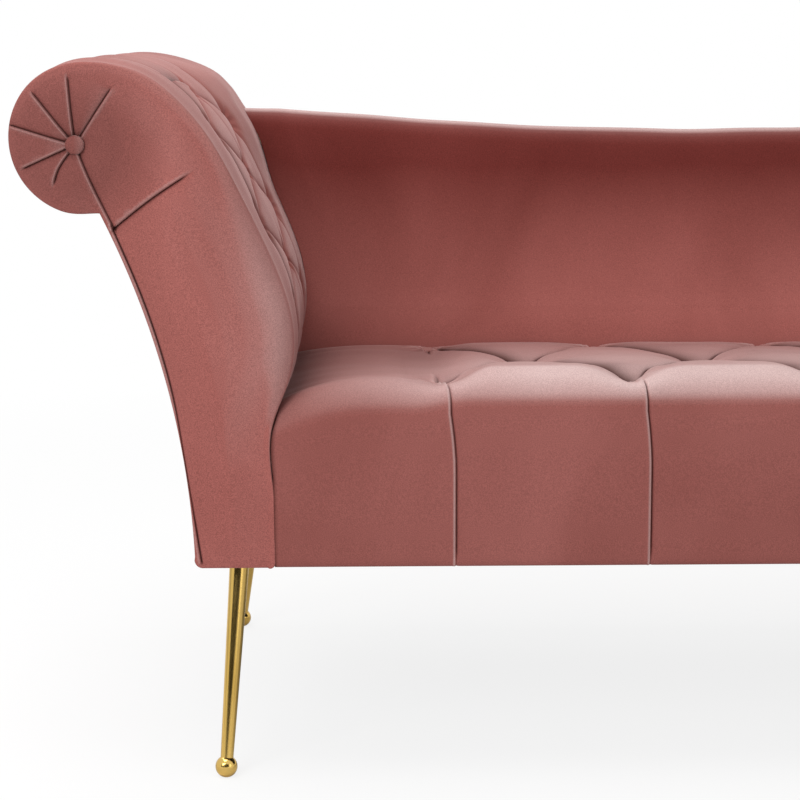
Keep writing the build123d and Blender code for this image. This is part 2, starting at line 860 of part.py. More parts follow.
with BuildPart() as back_top_rail:
    with BuildSketch(upright(rail_rear_y)):
        with BuildLine():
            back_line(top_rail_drop, back_start_x, back_stop_x)
            back_line(top_rail_drop + top_rail_height, back_start_x, back_stop_x)
            for x in (back_start_x, back_stop_x):
                Line((x, back_top(x) - top_rail_drop), (x, back_top(x) - top_rail_drop - top_rail_height))
        make_face()
    extrude(amount=-rail)
save(back_top_rail, "back_top_rail")

with BuildPart() as back_panel:
    with BuildSketch(upright(panel_y)):
        with BuildLine():
            back_line(top_rail_drop - 2, back_start_x, back_stop_x)
            Polyline(
                (back_start_x, back_top(back_start_x) - top_rail_drop + 2),
                (back_start_x, back_bottom_z + 3), (back_stop_x, back_bottom_z + 3),
                (back_stop_x, back_top(back_stop_x) - top_rail_drop + 2),
            )
        make_face()
    extrude(amount=-sheet)
save(back_panel, "back_panel")

with BuildPart() as back_bolts:
    for x in post_xs:
        with BuildSketch(upright(post_front_y)):
            with Locations((x, back_bolt_z)):
                RegularPolygon(bolt_head[0], 6)
        extrude(amount=bolt_head[1])
        with BuildSketch(upright(post_front_y)):
            with Locations((x, back_bolt_z)):
                Circle(bolt_radius)
        extrude(amount=post_front_y - frame_rear_y + 0.2)
save(back_bolts, "back_bolts")

# Back foam, inner cover and outer cover
with BuildPart() as back_foam:
    for x in back_xs:
        top = back_top(x)
        floor = top - top_rail_drop + 4
        inset = cover + foam_gap
        with BuildSketch(Plane.YZ.offset(x)):
            with BuildLine():
                back_rim(top, inset)
                Polyline(
                    (back_rear_y - inset, top - back_round), (back_rear_y - inset, floor),
                    (panel_y - gap, floor), (panel_y - gap, back_bottom_z),
                    (back_front_y + inset, back_bottom_z),
                )
            make_face()
    loft(ruled=True)
    clear_arm()
save(back_foam, "back_foam")

with BuildPart() as back_inner_cover:
    for x in back_xs:
        top = back_top(x)
        with BuildSketch(Plane.YZ.offset(x)):
            with BuildLine():
                back_rim(top, 0)
                Polyline(
                    (back_rear_y, top - back_round), (back_rear_y, top - back_hem),
                    (back_rear_y - cover, top - back_hem), (back_rear_y - cover, top - back_round),
                )
                back_rim(top, cover)
                Line((back_front_y, back_bottom_z), (back_front_y + cover, back_bottom_z))
            make_face()
    loft(ruled=True)
    clear_arm()
save(back_inner_cover, "back_inner_cover")

with BuildPart() as back_outer_cover:
    with BuildSketch(upright(back_rear_y - cover)):
        with BuildLine():
            Polyline(
                *[(x, back_top(x) - back_hem - gap) for x in back_xs],
                (back_xs[-1], underside), (back_xs[0], underside), close=True,
            )
        make_face()
    extrude(amount=-cover)
    clear_arm()
save(back_outer_cover, "back_outer_cover")

with BuildPart() as back_end_facing:
    top = back_top(end_x)
    with BuildSketch(Plane.YZ.offset(end_x - end_facing)):
        with BuildLine():
            back_rim(top, 0)
            Polyline(
                (back_rear_y, top - back_round), (back_rear_y, underside), (back_front_y, underside),
                (back_front_y, back_bottom_z),
            )
        make_face()
    extrude(amount=end_facing)
    fillet(back_end_facing.faces().sort_by(Axis.X)[-1].edges(), 8)
save(back_end_facing, "back_end_facing")

# Dust cover under the frame
with BuildPart() as dust_cover:
    block(arm_outer_x + 12, end_x - end_facing, front_y + 14, back_rear_y - 8, dust_bottom, dust_top)
    screw_holes(screw_radius + 0.1)
save(dust_cover, "dust_cover")

# Legs with ball feet and mounting plates
ball_z = sqrt(ball_radius**2 - ball_flat**2)
neck_up = sqrt(ball_radius**2 - (leg_low_radius + 0.5) ** 2)

for name, (x, y, out_x, out_y) in legs.items():
    top = Vector(x, y, plate_bottom)
    ball = Vector(x + out_x, y + out_y, ball_z)
    axis = (top - ball).normalized()
    low = Plane(ball + axis * neck_up, z_dir=axis)
    high = Plane(top + axis * 10, z_dir=axis)

    with BuildPart() as leg:
        for plane, radius in ((low, leg_low_radius), (high, leg_top_radius)):
            with BuildSketch(plane):
                Circle(radius)
        loft()
        for plane, radius in ((low, leg_low_radius), (high, leg_top_radius)):
            with BuildSketch(plane):
                Circle(radius - leg_wall)
        loft(mode=Mode.SUBTRACT)
        split(bisect_by=Plane.XY.offset(plate_bottom), keep=Keep.BOTTOM)
    save(leg, f"leg_{name}")

    with BuildPart() as foot:
        with Locations(ball):
            Sphere(ball_radius)
        split(bisect_by=Plane.XY, keep=Keep.TOP)
        split(bisect_by=low, keep=Keep.BOTTOM)
    save(foot, f"ball_foot_{name}")

    with BuildPart() as leg_plate:
        with BuildSketch(Plane.XY.offset(plate_bottom)):
            with Locations((x, y)):
                RectangleRounded(plate_size, plate_size, 6)
                with GridLocations(screw_spacing, screw_spacing, 2, 2):
                    Circle(screw_radius + 0.2, mode=Mode.SUBTRACT)
        extrude(amount=plate)
    save(leg_plate, f"leg_plate_{name}")

with BuildPart() as leg_screws:
    with Locations(*[(x, y, plate_bottom) for x, y in screw_points]):
        Cylinder(screw_radius, screw_length - 2, align=on_base)
    with Locations(*[(x, y, plate_bottom - screw_head[1]) for x, y in screw_points]):
        Cylinder(screw_head[0], screw_head[1], align=on_base)
save(leg_screws, "leg_screws")
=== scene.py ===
"""Looks of the chaise longue: velvet covers with their tufts and pleats, gold legs, light and camera.

Shapes are worked out in millimetres in the part's frame and written to Blender in metres.
"""

from math import cos, pi, radians, sin

import bpy
import numpy as np
from mathutils import Matrix, Vector
from mathutils.geometry import delaunay_2d_cdt


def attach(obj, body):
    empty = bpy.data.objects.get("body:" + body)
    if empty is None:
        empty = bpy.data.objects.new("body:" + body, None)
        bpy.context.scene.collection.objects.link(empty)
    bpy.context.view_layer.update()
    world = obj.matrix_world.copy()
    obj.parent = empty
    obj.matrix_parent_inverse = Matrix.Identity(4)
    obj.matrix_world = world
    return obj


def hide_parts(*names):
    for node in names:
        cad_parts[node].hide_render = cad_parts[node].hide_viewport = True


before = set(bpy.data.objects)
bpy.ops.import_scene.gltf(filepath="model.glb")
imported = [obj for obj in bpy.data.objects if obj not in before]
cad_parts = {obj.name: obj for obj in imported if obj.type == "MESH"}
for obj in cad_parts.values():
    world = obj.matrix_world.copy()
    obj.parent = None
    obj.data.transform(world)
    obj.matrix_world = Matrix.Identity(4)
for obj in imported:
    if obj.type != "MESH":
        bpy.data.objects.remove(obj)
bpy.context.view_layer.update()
MM = 0.001

# Sizes of the part
END_X = 850
FRONT_Y = -340
UNDERSIDE = 238
HEM = UNDERSIDE - 3.5
SCROLL = (-772, 690)
SCROLL_RADIUS = 78
NECK = (-760, 612)
ARM_INNER_X = -581
ARM_OUTER_X = -667
FLANK = (-703, 465)
ARM_PROFILE = [
    (-740, 765), (-706, 752), (-682, 733), (-647, 692), (-620, 643), (-596, 592),
    (-575, 543), (-561, 490), (-567, 430), (-584, 386), (-584, 332),
]
ARM_ROWS = ARM_PROFILE[2:8]
WAIST = ARM_PROFILE[9]
ARM_COLUMNS = (-220, -85, 50)
ARM_END_Y = 318
SCROLL_BUTTON = (-784, 683)
FIRST_COLUMN, COLUMN_PITCH, COLUMN_COUNT = -405, 209, 6
ROW_FRONT, ROW_PITCH = -245, 197.5
DIP_FRONT, DIP_REAR, PUFF, PUFF_FALL = 416, 400, 29, 0.36
SEAT_REAR_Y = 186
BACK_FRONT_Y, BACK_REAR_Y = 190, 312
BUTTON_RADIUS, BUTTON_HEIGHT = 10, 5


# Curves and meshes


def run_along(curve):
    """Distance from the start of a polyline to each of its points."""
    return np.concatenate([[0], np.cumsum(np.linalg.norm(np.diff(curve, axis=0), axis=1))])


def even(curve, step):
    """Points at an even step along a polyline."""
    length = run_along(curve)
    at = np.linspace(0, length[-1], max(2, int(round(length[-1] / step)) + 1))
    return np.stack([np.interp(at, length, curve[:, k]) for k in range(curve.shape[1])], 1)


def smooth_curve(points, step):
    """Points at an even step along a natural cubic through the given points."""
    p = np.asarray(points, float)
    t = run_along(p)
    n, h = len(t), np.diff(t)
    a, r = np.eye(n), np.zeros_like(p)
    for i in range(1, n - 1):
        a[i, i - 1 : i + 2] = h[i - 1], 2 * (h[i - 1] + h[i]), h[i]
        r[i] = 6 * ((p[i + 1] - p[i]) / h[i] - (p[i] - p[i - 1]) / h[i - 1])
    m = np.linalg.solve(a, r)
    fine = np.linspace(0, t[-1], int(t[-1] / 0.5) + 1)
    k = np.clip(np.searchsorted(t, fine, side="right") - 1, 0, n - 2)
    d, w = (fine - t[k])[:, None], h[k][:, None]
    curve = (m[k] * (w - d) ** 3 + m[k + 1] * d**3) / (6 * w)
    curve += (p[k] / w - m[k] * w / 6) * (w - d) + (p[k + 1] / w - m[k + 1] * w / 6) * d
    return even(curve, step)


def arc_points(centre, radius, start, stop, step):
    """Points along an arc, angles in degrees."""
    n = max(2, int(abs(radians(stop - start)) * radius / step) + 1)
    a = np.radians(np.linspace(start, stop, n))
    return np.stack([centre[0] + radius * np.cos(a), centre[1] + radius * np.sin(a)], 1)


def arc_through(a, b, c, step):
    """Points along the circle through three points, from the first to the last."""
    a, b, c = (complex(*point) for point in (a, b, c))
    w = (c - a) / (b - a)
    centre = a + (b - a) * (w - abs(w) ** 2) / (2j * w.imag)
    start, stop = (np.angle(point - centre, deg=True) for point in (a, c))
    stop += 360 * round((start - stop) / 360)
    return arc_points((centre.real, centre.imag), abs(a - centre), start, stop, step)


def ease(t):
    """Smooth step from 0 to 1."""
    t = np.clip(t, 0, 1)
    return t * t * (3 - 2 * t)


def window(x, low, high, rise, fall):
    """1 between two limits, with a soft rise after the first and a soft fall before the second."""
    return ease((x - low) / rise) * ease((high - x) / fall)


def rolled(inside, radius):
    """How far a rounded edge falls away, from the distance to its rim."""
    return radius - np.sqrt(np.maximum(radius**2 - np.clip(radius - inside, 0, None) ** 2, 0))


def softened(values, reach, width):
    """Row of values evened out with a bell curve."""
    bell = np.exp(-0.5 * (np.arange(-reach, reach + 1) / width) ** 2)
    longer = np.pad(values, reach, mode="reflect", reflect_type="odd")
    return np.convolve(longer, bell / bell.sum(), "valid")


def ripple(x, y, size, seed):
    """Slow seeded undulation between about -1 and 1, from a few crossing waves."""
    rng = np.random.default_rng(seed)
    total = np.zeros(np.broadcast(x, y).shape)
    for _ in range(7):
        angle, phase = rng.uniform(0, 2 * pi), rng.uniform(0, 2 * pi)
        length = size * rng.uniform(0.6, 1.6)
        total = total + np.sin((x * cos(angle) + y * sin(angle)) * 2 * pi / length + phase)
    return total / 3.2


def nearest(points, line):
    """Distance of points to a polyline, the number of the nearest stretch and the share along it."""
    best, index, share = np.full(len(points), 1e9), np.zeros(len(points), int), np.zeros(len(points))
    for k, (a, b) in enumerate(zip(line, line[1:])):
        d = b - a
        t = np.clip((points - a) @ d / max(d @ d, 1e-9), 0, 1)
        away = np.linalg.norm(points - a - t[:, None] * d, axis=1)
        closer = away < best
        best[closer], index[closer], share[closer] = away[closer], k, t[closer]
    return best, index, share


def fold(px, py, path, depth, lip, slope, ridge=0.0, fade_in=0, fade_out=0):
    """Depth of a folded pleat along a path: steep on its left side with a raised lip, easy on its right."""
    path = np.asarray(path, float)
    total = np.zeros(px.shape)
    reach = 5 * max(lip, slope)
    low, high = path.min(0) - reach, path.max(0) + reach
    near = np.nonzero((px > low[0]) & (px < high[0]) & (py > low[1]) & (py < high[1]))
    points = np.stack([px[near], py[near]], 1)
    dist, index, share = nearest(points, path)
    run, way = run_along(path), np.diff(path, axis=0)[index]
    away = points - path[index] - share[:, None] * way
    along = run[index] + share * np.diff(run)[index]
    left = way[:, 0] * away[:, 1] - way[:, 1] * away[:, 0] > 0
    shape = np.exp(-dist / np.where(left, lip, slope))
    shape = shape - np.where(left, ridge * np.exp(-(((dist - 2.2 * lip) / (1.3 * lip)) ** 2)), 0)
    strength = np.ones(len(points))
    if fade_in:
        strength *= ease(along / fade_in)
    if fade_out:
        strength *= ease((run[-1] - along) / fade_out)
    total[near] = depth * strength * shape
    return total


def gathers(x, y, place, height, radius, width, count, phase):
    """Short gathers that run into a button."""
    dx, dy = x - place[0], y - place[1]
    ring = np.exp(-(((np.hypot(dx, dy) - radius) / width) ** 2))
    return height * ring * np.sin(np.arctan2(dy, dx) * count + phase)


def deepest(depth, more):
    """Deeper of two reliefs, where raised lips add up."""
    return np.where(more > 0, np.maximum(depth, more), np.where(depth > 0.3, depth, depth + more))


def creases(depth, start, reach):
    """Line values from the relief of folds: raised lips positive, creases negative; they become painted
    highlight and painted shade.
    """
    return np.clip(-depth / 1.5, 0, 1) - np.clip((depth - start) / reach, 0, 1)


def vertex_normals(points, faces):
    """Unit normals at the points of a quad or triangle mesh."""
    normals = np.zeros_like(points)
    a, b, c, last = (points[faces[:, k]] for k in (0, 1, 2, -1))
    cross = np.cross(c - a, last - b)
    for k in range(faces.shape[1]):
        np.add.at(normals, faces[:, k], cross)
    return normals / np.maximum(np.linalg.norm(normals, axis=1, keepdims=True), 1e-12)


def grid_points(x, y, z):
    """Points of a grid stored row by row."""
    return np.stack([x, y, z], -1).reshape(-1, 3)


def grid_faces(rows, columns):
    """Quads of a grid of points stored row by row."""
    index = np.arange(rows * columns).reshape(rows, columns)
    return np.stack([index[:-1, :-1], index[:-1, 1:], index[1:, 1:], index[1:, :-1]], -1).reshape(-1, 4)


def pleated_faces(rows, columns, row_zero, column_zero, cells, shift=0):
    """Triangles of a grid whose diagonals lie along a lattice of pleats."""
    i, j = np.meshgrid(np.arange(columns - 1) - column_zero - shift, np.arange(rows - 1) - row_zero)
    rising = np.abs((i - j + cells) % (2 * cells) - cells)
    falling = np.abs((i + j + 1 + cells) % (2 * cells) - cells)
    up = (rising <= falling).reshape(-1)
    a, b, c, d = grid_faces(rows, columns).T
    one = [np.stack([a, b, c], 1)[up], np.stack([a, c, d], 1)[up]]
    other = [np.stack([a, b, d], 1)[~up], np.stack([b, c, d], 1)[~up]]
    return np.concatenate(one + other)


def piece(name, points, faces, material, nodes=(), lines=None):
    """New smooth mesh object on the body, standing for the named nodes; lines carry painted highlight on lips
    and painted shade in creases.
    """
    mesh = bpy.data.meshes.new(name)
    faces = faces.tolist() if isinstance(faces, np.ndarray) else faces
    mesh.from_pydata((points * MM).tolist(), [], faces)
    mesh.polygons.foreach_set("use_smooth", np.ones(len(mesh.polygons), bool))
    mesh.update()
    if lines is not None:
        painted_fold_light = mesh.attributes.new("painted_fold_light", "FLOAT", "POINT")
        painted_fold_light.data.foreach_set("value", np.asarray(lines, np.float32))
    obj = bpy.data.objects.new(name, mesh)
    bpy.context.scene.collection.objects.link(obj)
    mesh.materials.append(material)
    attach(obj, "root")
    if nodes:
        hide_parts(*nodes)
    return obj


# Materials


class Tree:
    """Node tree of a material or a world."""

    def __init__(self, owner):
        owner.use_nodes = True
        self.tree = owner.node_tree
        self.tree.nodes.clear()

    def fill(self, node, sockets):
        """Inputs of a node; each takes a plain value or the output of another node."""
        for name, value in dict(sockets).items():
            if isinstance(value, bpy.types.NodeSocket):
                self.tree.links.new(value, node.inputs[name])
            else:
                node.inputs[name].default_value = value

    def add(self, kind, sockets=(), **settings):
        """New node with its settings and inputs."""
        node = self.tree.nodes.new("ShaderNode" + kind)
        for name, value in settings.items():
            setattr(node, name, value)
        self.fill(node, sockets)
        return node

    def noise(self, where, scale, detail=3, stretch=None, distortion=0.0):
        """Noise in the part's frame, with its scale per metre."""
        if stretch:
            where = self.add("Mapping", {"Scale": stretch, "Vector": where}).outputs[0]
        sockets = {"Scale": scale, "Detail": detail, "Distortion": distortion, "Vector": where}
        return self.add("TexNoise", sockets).outputs["Fac"]

    def ramp(self, value, stops):
        """Colour ramp over a value, from pairs of place and colour or grey."""
        node = self.add("ValToRGB", {"Fac": value})
        elements = node.color_ramp.elements
        while len(elements) < len(stops):
            elements.new(0.5)
        for element, (place, colour) in zip(elements, stops):
            element.position = place
            element.color = (*colour, 1) if hasattr(colour, "__len__") else (colour, colour, colour, 1)
        return node.outputs["Color"]

    def mix(self, factor, a, b, mode="MIX"):
        """Mix of two colours."""
        sockets = {"Factor": factor, "A": a, "B": b}
        return self.add("Mix", sockets, data_type="RGBA", blend_type=mode).outputs["Result"]

    def combine(self, a, b, operation):
        """Number worked out from two numbers."""
        return self.add("Math", {0: a, 1: b}, operation=operation).outputs[0]

    def rescale(self, value, start, stop, first, last):
        """Number led from one range to another and kept within it."""
        sockets = {"Value": value, "From Min": start, "From Max": stop, "To Min": first, "To Max": last}
        return self.add("MapRange", sockets).outputs[0]

    def bump(self, height, strength, distance, below=None):
        """Surface direction from small heights, on top of another such relief if one is given."""
        sockets = {"Strength": strength, "Distance": distance, "Height": height}
        if below:
            sockets["Normal"] = below
        return self.add("Bump", sockets).outputs[0]


def new_material(name):
    """Material with a principled shader, and the places and directions on the piece that carries it."""
    material = bpy.data.materials.new(name)
    tree = Tree(material)
    shader = tree.add("BsdfPrincipled")
    tree.add("OutputMaterial", {0: shader.outputs[0]})
    where = tree.add("TexCoord")
    return material, tree, shader, where.outputs["Object"], where.outputs["Normal"]


def painted_highlight_amount(tree, where, facing, direction, stops, limits):
    """Share of painted highlight, from the surface's direction and from limits along the axes or the glancing
    angle.
    """
    # The part of the surface's direction along an axis that doesn't matter is left out
    axes = [1.0 if c else 0.0 for c in direction]
    along = tree.add("VectorMath", {0: facing, 1: axes}, operation="MULTIPLY")
    unit = tree.add("VectorMath", {0: along.outputs[0]}, operation="NORMALIZE")
    lean = tree.add("VectorMath", {0: unit.outputs[0], 1: direction}, operation="DOT_PRODUCT")
    amount = tree.ramp(lean.outputs["Value"], stops)
    split = tree.add("SeparateXYZ", {0: where})
    for axis, *limit in limits:
        value = tree.add("LayerWeight").outputs["Facing"] if axis == "glance" else split.outputs[axis]
        amount = tree.combine(amount, tree.rescale(value, *limit), "MULTIPLY")
    return amount


def velvet(name, tone=1.0, shade=None, painted_highlight=None, sheen=0.33, grainy=0.07):
    """Short pile with brushed patches, fine grain and sheen.

    A shade is painted shade that darkens it round a place. The painted highlight mixes in a lighter
    tone where the surface leans towards a direction, with limits along the axes.
    """
    material, tree, shader, where, facing = new_material(name)
    patches = tree.noise(where, 5, 3, (1.0, 1.0, 0.7), 0.8)
    dark, light = (tuple(tone * c for c in colour) for colour in (ROSE_DARK, ROSE_LIGHT))
    colour = tree.ramp(patches, [(0.3, dark), (0.7, light)])
    # Lighter tone for the painted highlight
    side = tree.ramp(patches, [(0.3, ROSE_PAINTED_HIGHLIGHT), (0.7, tuple(1.08 * c for c in ROSE_PAINTED_HIGHLIGHT))])
    # Painted shade round a place
    if shade:
        centre, squash, tilt, stops = shade
        sockets = {"Vector": where, "Location": centre, "Scale": squash, "Rotation": (tilt, 0, 0)}
        mapping = tree.add("Mapping", sockets, vector_type="TEXTURE")
        length = tree.add("VectorMath", {0: mapping.outputs[0]}, operation="LENGTH")
        colour = tree.mix(1.0, colour, tree.ramp(length.outputs["Value"], stops), "MULTIPLY")
    # Painted highlight where the surface leans towards a direction
    if painted_highlight:
        colour = tree.mix(painted_highlight_amount(tree, where, facing, *painted_highlight), colour, side)
    # Painted highlight on the raised lips of folds, and painted shade in creases, dips and beside pleats
    painted_fold_light = tree.add("Attribute", attribute_name="painted_fold_light")
    level = tree.rescale(painted_fold_light.outputs["Fac"], -1.0, 1.0, 0.0, 1.0)
    colour = tree.mix(tree.ramp(level, [(0.5, 0.0), (1.0, 0.6)]), colour, side)
    depth = tree.ramp(level, [(0.0, CREASE_PAINTED_SHADE), (0.5, 1.0)])
    colour = tree.mix(1.0, colour, depth, "MULTIPLY")
    grain = tree.noise(where, 1000, 2)
    pile = tree.ramp(grain, [(0.36, 0.5 - grainy), (0.64, 0.5 + grainy)])
    slow = tree.bump(tree.noise(where, 30, 3, None, 0.4), 0.12, 0.002)
    tree.fill(shader, {
        "Base Color": tree.mix(1.0, colour, pile, "OVERLAY"),
        "Roughness": tree.ramp(patches, [(0.3, 0.9), (0.7, 0.75)]),
        "Specular IOR Level": 0.1,
        "Sheen Weight": sheen,
        "Sheen Roughness": 0.3,
        "Sheen Tint": SHEEN_TINT,
        "Normal": tree.bump(grain, 0.25, 0.0005, slow),
    })
    return material


def plain(name, dark, light, scale, rough, stretch=None, metal=0.0, depth=0.0005, strength=0.3):
    """Two-tone material whose colour, roughness and bump come from one noise."""
    material, tree, shader, where, _ = new_material(name)
    value = tree.noise(where, scale, 4, stretch)
    tree.fill(shader, {
        "Base Color": tree.ramp(value, [(0.3, dark), (0.7, light)]),
        "Roughness": tree.ramp(value, [(0.3, rough[0]), (0.7, rough[1])]),
        "Metallic": metal,
        "Normal": tree.bump(value, strength, depth),
    })
    return material


ROSE_DARK = (0.255, 0.08, 0.069)
ROSE_LIGHT = (0.31, 0.103, 0.09)
ROSE_PAINTED_HIGHLIGHT = (0.5, 0.355, 0.34)
CREASE_PAINTED_SHADE = (0.2, 0.14, 0.13)
SHEEN_TINT = (1.0, 0.8, 0.78, 1)

# Painted shades, on the seat near the arm, towards the top of the back and on the scroll, hold a centre, a
# size, a tilt and colour stops over the distance
SEAT_PAINTED_SHADE = ((-0.6, 0.1, 0.4), (0.3, 0.35, 100), 0, [(0.2, 0.72), (1.0, 1.0)])
BACK_PAINTED_SHADE = ((0, 0.31, 0.64), (100, 100, 0.1), 1.267, [(0.55, 1.0), (0.88, (0.37, 0.21, 0.2))])
SCROLL_PAINTED_SHADE = ((-0.79, -0.34, 0.683), (0.2, 10, 0.2), 0, [(0.25, 0.63), (0.55, 1.0)])

# Painted highlights hold a direction, stops over the lean towards it, and limits along the axes or the
# glancing angle
# Painted highlight on the seat's rolled front edge and upward tops, weaker towards the rear, near the arm and
# at the foot end
SEAT_PAINTED_HIGHLIGHT = (
    (0, -0.4, 0.917),
    [(0.52, 0.0), (0.63, 0.1), (0.784, 0.58), (0.9, 0.8), (0.985, 1.0)],
    [
        ("Y", -0.29, -0.22, 1.0, 0.72),
        ("Y", -0.12, 0.1, 1.0, 0.3),
        ("X", -0.56, -0.3, 0.12, 1.0),
        ("X", 0.6, 0.78, 1.0, 0.1),
    ],
)
# Painted highlight on the back's top, a painted sheen that grows at glancing view angles
BACK_PAINTED_HIGHLIGHT = ((0, -0.2, 0.98), [(0.4, 0.0), (0.78, 0.25), (0.97, 0.8)], [("glance", 0.45, 0.8, 0.15, 1.0)])
# Painted highlight along the soft inner edge of the arm's front
SCROLL_PAINTED_HIGHLIGHT = (
    (0.64, -0.77, 0),
    [(0.75, 0.0), (1.0, 0.4)],
    [("Y", -0.31, -0.29, 1.0, 0.2), ("Z", 0.52, 0.64, 1.0, 0.4), ("Z", 0.34, 0.46, 0.1, 1.0)],
)

rose = velvet("rose_velvet")
# Lighter and darker copies of the velvet with painted shade and painted highlight, set to the light on each
# cover
seat_rose_painted_light = velvet("rose_velvet_seat_painted_light", 0.88, SEAT_PAINTED_SHADE, SEAT_PAINTED_HIGHLIGHT, 0.25)
back_rose_painted_light = velvet("rose_velvet_back_painted_light", 1.33, BACK_PAINTED_SHADE, BACK_PAINTED_HIGHLIGHT, 0.14)
facing_rose_painted_light = velvet("rose_velvet_scroll_painted_light", 1.1, SCROLL_PAINTED_SHADE, SCROLL_PAINTED_HIGHLIGHT, 0.33, 0.1)
gold = plain(
    "polished_gold", (0.58, 0.37, 0.09), (0.7, 0.47, 0.14), 40, (0.1, 0.16), (1, 1, 0.2),
    metal=1.0, depth=0.0001, strength=0.05,
)
beech = plain("beech", (0.42, 0.26, 0.14), (0.58, 0.4, 0.24), 60, (0.5, 0.7), (0.15, 1, 1))
birch_ply = plain("birch_ply", (0.55, 0.4, 0.25), (0.68, 0.53, 0.35), 45, (0.5, 0.7), (1, 1, 0.15))
hardboard = plain("hardboard", (0.2, 0.12, 0.07), (0.3, 0.2, 0.12), 300, (0.6, 0.8))
grey_board = plain("grey_board", (0.32, 0.28, 0.23), (0.42, 0.38, 0.31), 250, (0.8, 0.95))
spring_wire = plain("spring_wire", (0.2, 0.2, 0.21), (0.34, 0.34, 0.35), 90, (0.25, 0.45), metal=1.0)
zinc = plain("zinc_steel", (0.5, 0.5, 0.52), (0.68, 0.68, 0.7), 160, (0.25, 0.45), metal=1.0)
black_steel = plain("plate_steel", (0.02, 0.02, 0.021), (0.045, 0.045, 0.047), 220, (0.4, 0.6), metal=0.6)
foam = plain("foam", (0.72, 0.62, 0.4), (0.86, 0.78, 0.56), 420, (0.85, 0.97), depth=0.001)
felt = plain("felt", (0.28, 0.27, 0.26), (0.46, 0.45, 0.43), 380, (0.9, 1.0), depth=0.001)
cambric = plain("dust_cloth", (0.016, 0.016, 0.017), (0.04, 0.04, 0.042), 700, (0.8, 0.95), depth=0.0004)


def dress(material, *names):
    """Give nodes of the part their material."""
    for name in names:
        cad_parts[name].data.materials.clear()
        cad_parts[name].data.materials.append(material)


dress(beech, "front_rail", "rear_rail", "arm_end_rail", "foot_end_rail", "spring_rail", "cross_rails")
dress(beech, "corner_blocks", "arm_bottom_rail", "arm_stretchers", "back_posts", "back_top_rail")
dress(birch_ply, "arm_front_board", "arm_rear_board")
dress(hardboard, "arm_inner_panel", "arm_outer_panel", "back_panel")
dress(grey_board, "arm_roll_tube")
dress(spring_wire, "seat_springs")
dress(zinc, "spring_clips", "arm_bolts", "back_bolts", "leg_screws")
dress(foam, "seat_foam", "arm_padding", "back_foam")
dress(felt, "spring_felt")
for corner in ("front_arm", "rear_arm", "front_end", "rear_end"):
    dress(gold, "leg_" + corner, "ball_foot_" + corner)
    dress(black_steel, "leg_plate_" + corner)


# Inner side of the arm: its line from the neck round the scroll and down the slope

LINE_STEP = 0.8
scroll_line = arc_points(SCROLL, SCROLL_RADIUS, 270, 90, 1)
slope_line = smooth_curve([tuple(scroll_line[-6]), tuple(scroll_line[-1])] + ARM_PROFILE, 1)
arm_line = even(np.concatenate([[(NECK[0] - 1, NECK[1])], scroll_line[:-6], slope_line]), LINE_STEP)
arm_line = np.stack([softened(arm_line[:, k], 26, 9.0) for k in range(2)], 1)


def outward(line):
    """Unit directions to the outer side of a line that runs over the arm."""
    tangent = np.gradient(line, axis=0)
    return np.stack([-tangent[:, 1], tangent[:, 0]], 1) / np.linalg.norm(tangent, axis=1, keepdims=True)


# The wadding fills the scroll a little beyond its plain circle
SCROLL_FILL = 2.8
along = np.arange(len(arm_line)) * LINE_STEP
full = SCROLL_FILL * window(along, 0, 270, 40, 90)
ARM_LINE = arm_line + outward(arm_line) * full[:, None]
ARM_RUN = run_along(ARM_LINE)
ARM_OUT = outward(ARM_LINE)


def run_at(point):
    """Distance along the arm's line nearest to a point."""
    return ARM_RUN[np.argmin(np.linalg.norm(ARM_LINE - np.asarray(point), axis=1))]


ROW_RUNS = [run_at(p) for p in ARM_ROWS]
CROWN_RUN = run_at((SCROLL[0], SCROLL[1] + SCROLL_RADIUS))
WAIST_RUN = run_at(WAIST)
inner_line = ARM_LINE[ARM_RUN > CROWN_RUN]
inner_order = np.argsort(inner_line[:, 1])


def arm_side(z):
    """Inner side of the arm at a height."""
    return np.interp(z, inner_line[inner_order, 1], inner_line[inner_order, 0])


def edge_round(run):
    """Radius of the soft edge between the front of the arm and its sides."""
    swell = window(run, CROWN_RUN + 150, WAIST_RUN - 8, 180, 70)
    return 10 + 24 * swell - 6 * ease((run - WAIST_RUN + 20) / 30)


def rear_swell(z, y):
    """Extra fullness of the arm beside the top of the back."""
    return 11.5 * window(z, 590, 768, 90, 40) * window(y, 20, 314, 150, 26)


# Seat cover: a tufted top, a rolled edge and a wall round the front and the foot end

FACE_Y = FRONT_Y + 2
SEAT_X = ARM_INNER_X - 0.4
EDGE = 40
CORNER = 44
CELLS = 56
REAR_TURN = 8
HEM_ROUND = 9
WALL_FULL = 1.6
ARM_TURN = 1.5
FOLLOW = 40
REAR_TUCK = 14
END_RETURN = 30
MIDDLE_FALL = 6
SEAM_SHIFTS = (15.5, 13.5, 12, 14.5, 13, 14)
# Buttons by column and row; the middle row stands between the columns
SEAT_BUTTONS = []
for column in range(COLUMN_COUNT):
    SEAT_BUTTONS += [(column, 0), (column, 2)]
    if column < COLUMN_COUNT - 1:
        SEAT_BUTTONS.append((column + 0.5, 1))


def seat_place(column, row):
    """Place of a button in the seat's plan."""
    return FIRST_COLUMN + COLUMN_PITCH * column, ROW_FRONT + ROW_PITCH * row


def seat_dip(v):
    """Level of the buttons, which falls towards the rear and is lowest in the middle row."""
    level = DIP_FRONT + (DIP_REAR - DIP_FRONT) * np.clip(v, -0.1, 2) / 2 - 22 * np.clip(v - 2, 0, 1)
    return level - MIDDLE_FALL * ease(v / 0.5) * (1 - ease((v - 1) / 0.8))


def dome(t):
    """Steep rise out of a dip that rounds over to level at 1."""
    return 1 - (1 - np.clip(t, 0, 1)) ** 2.2


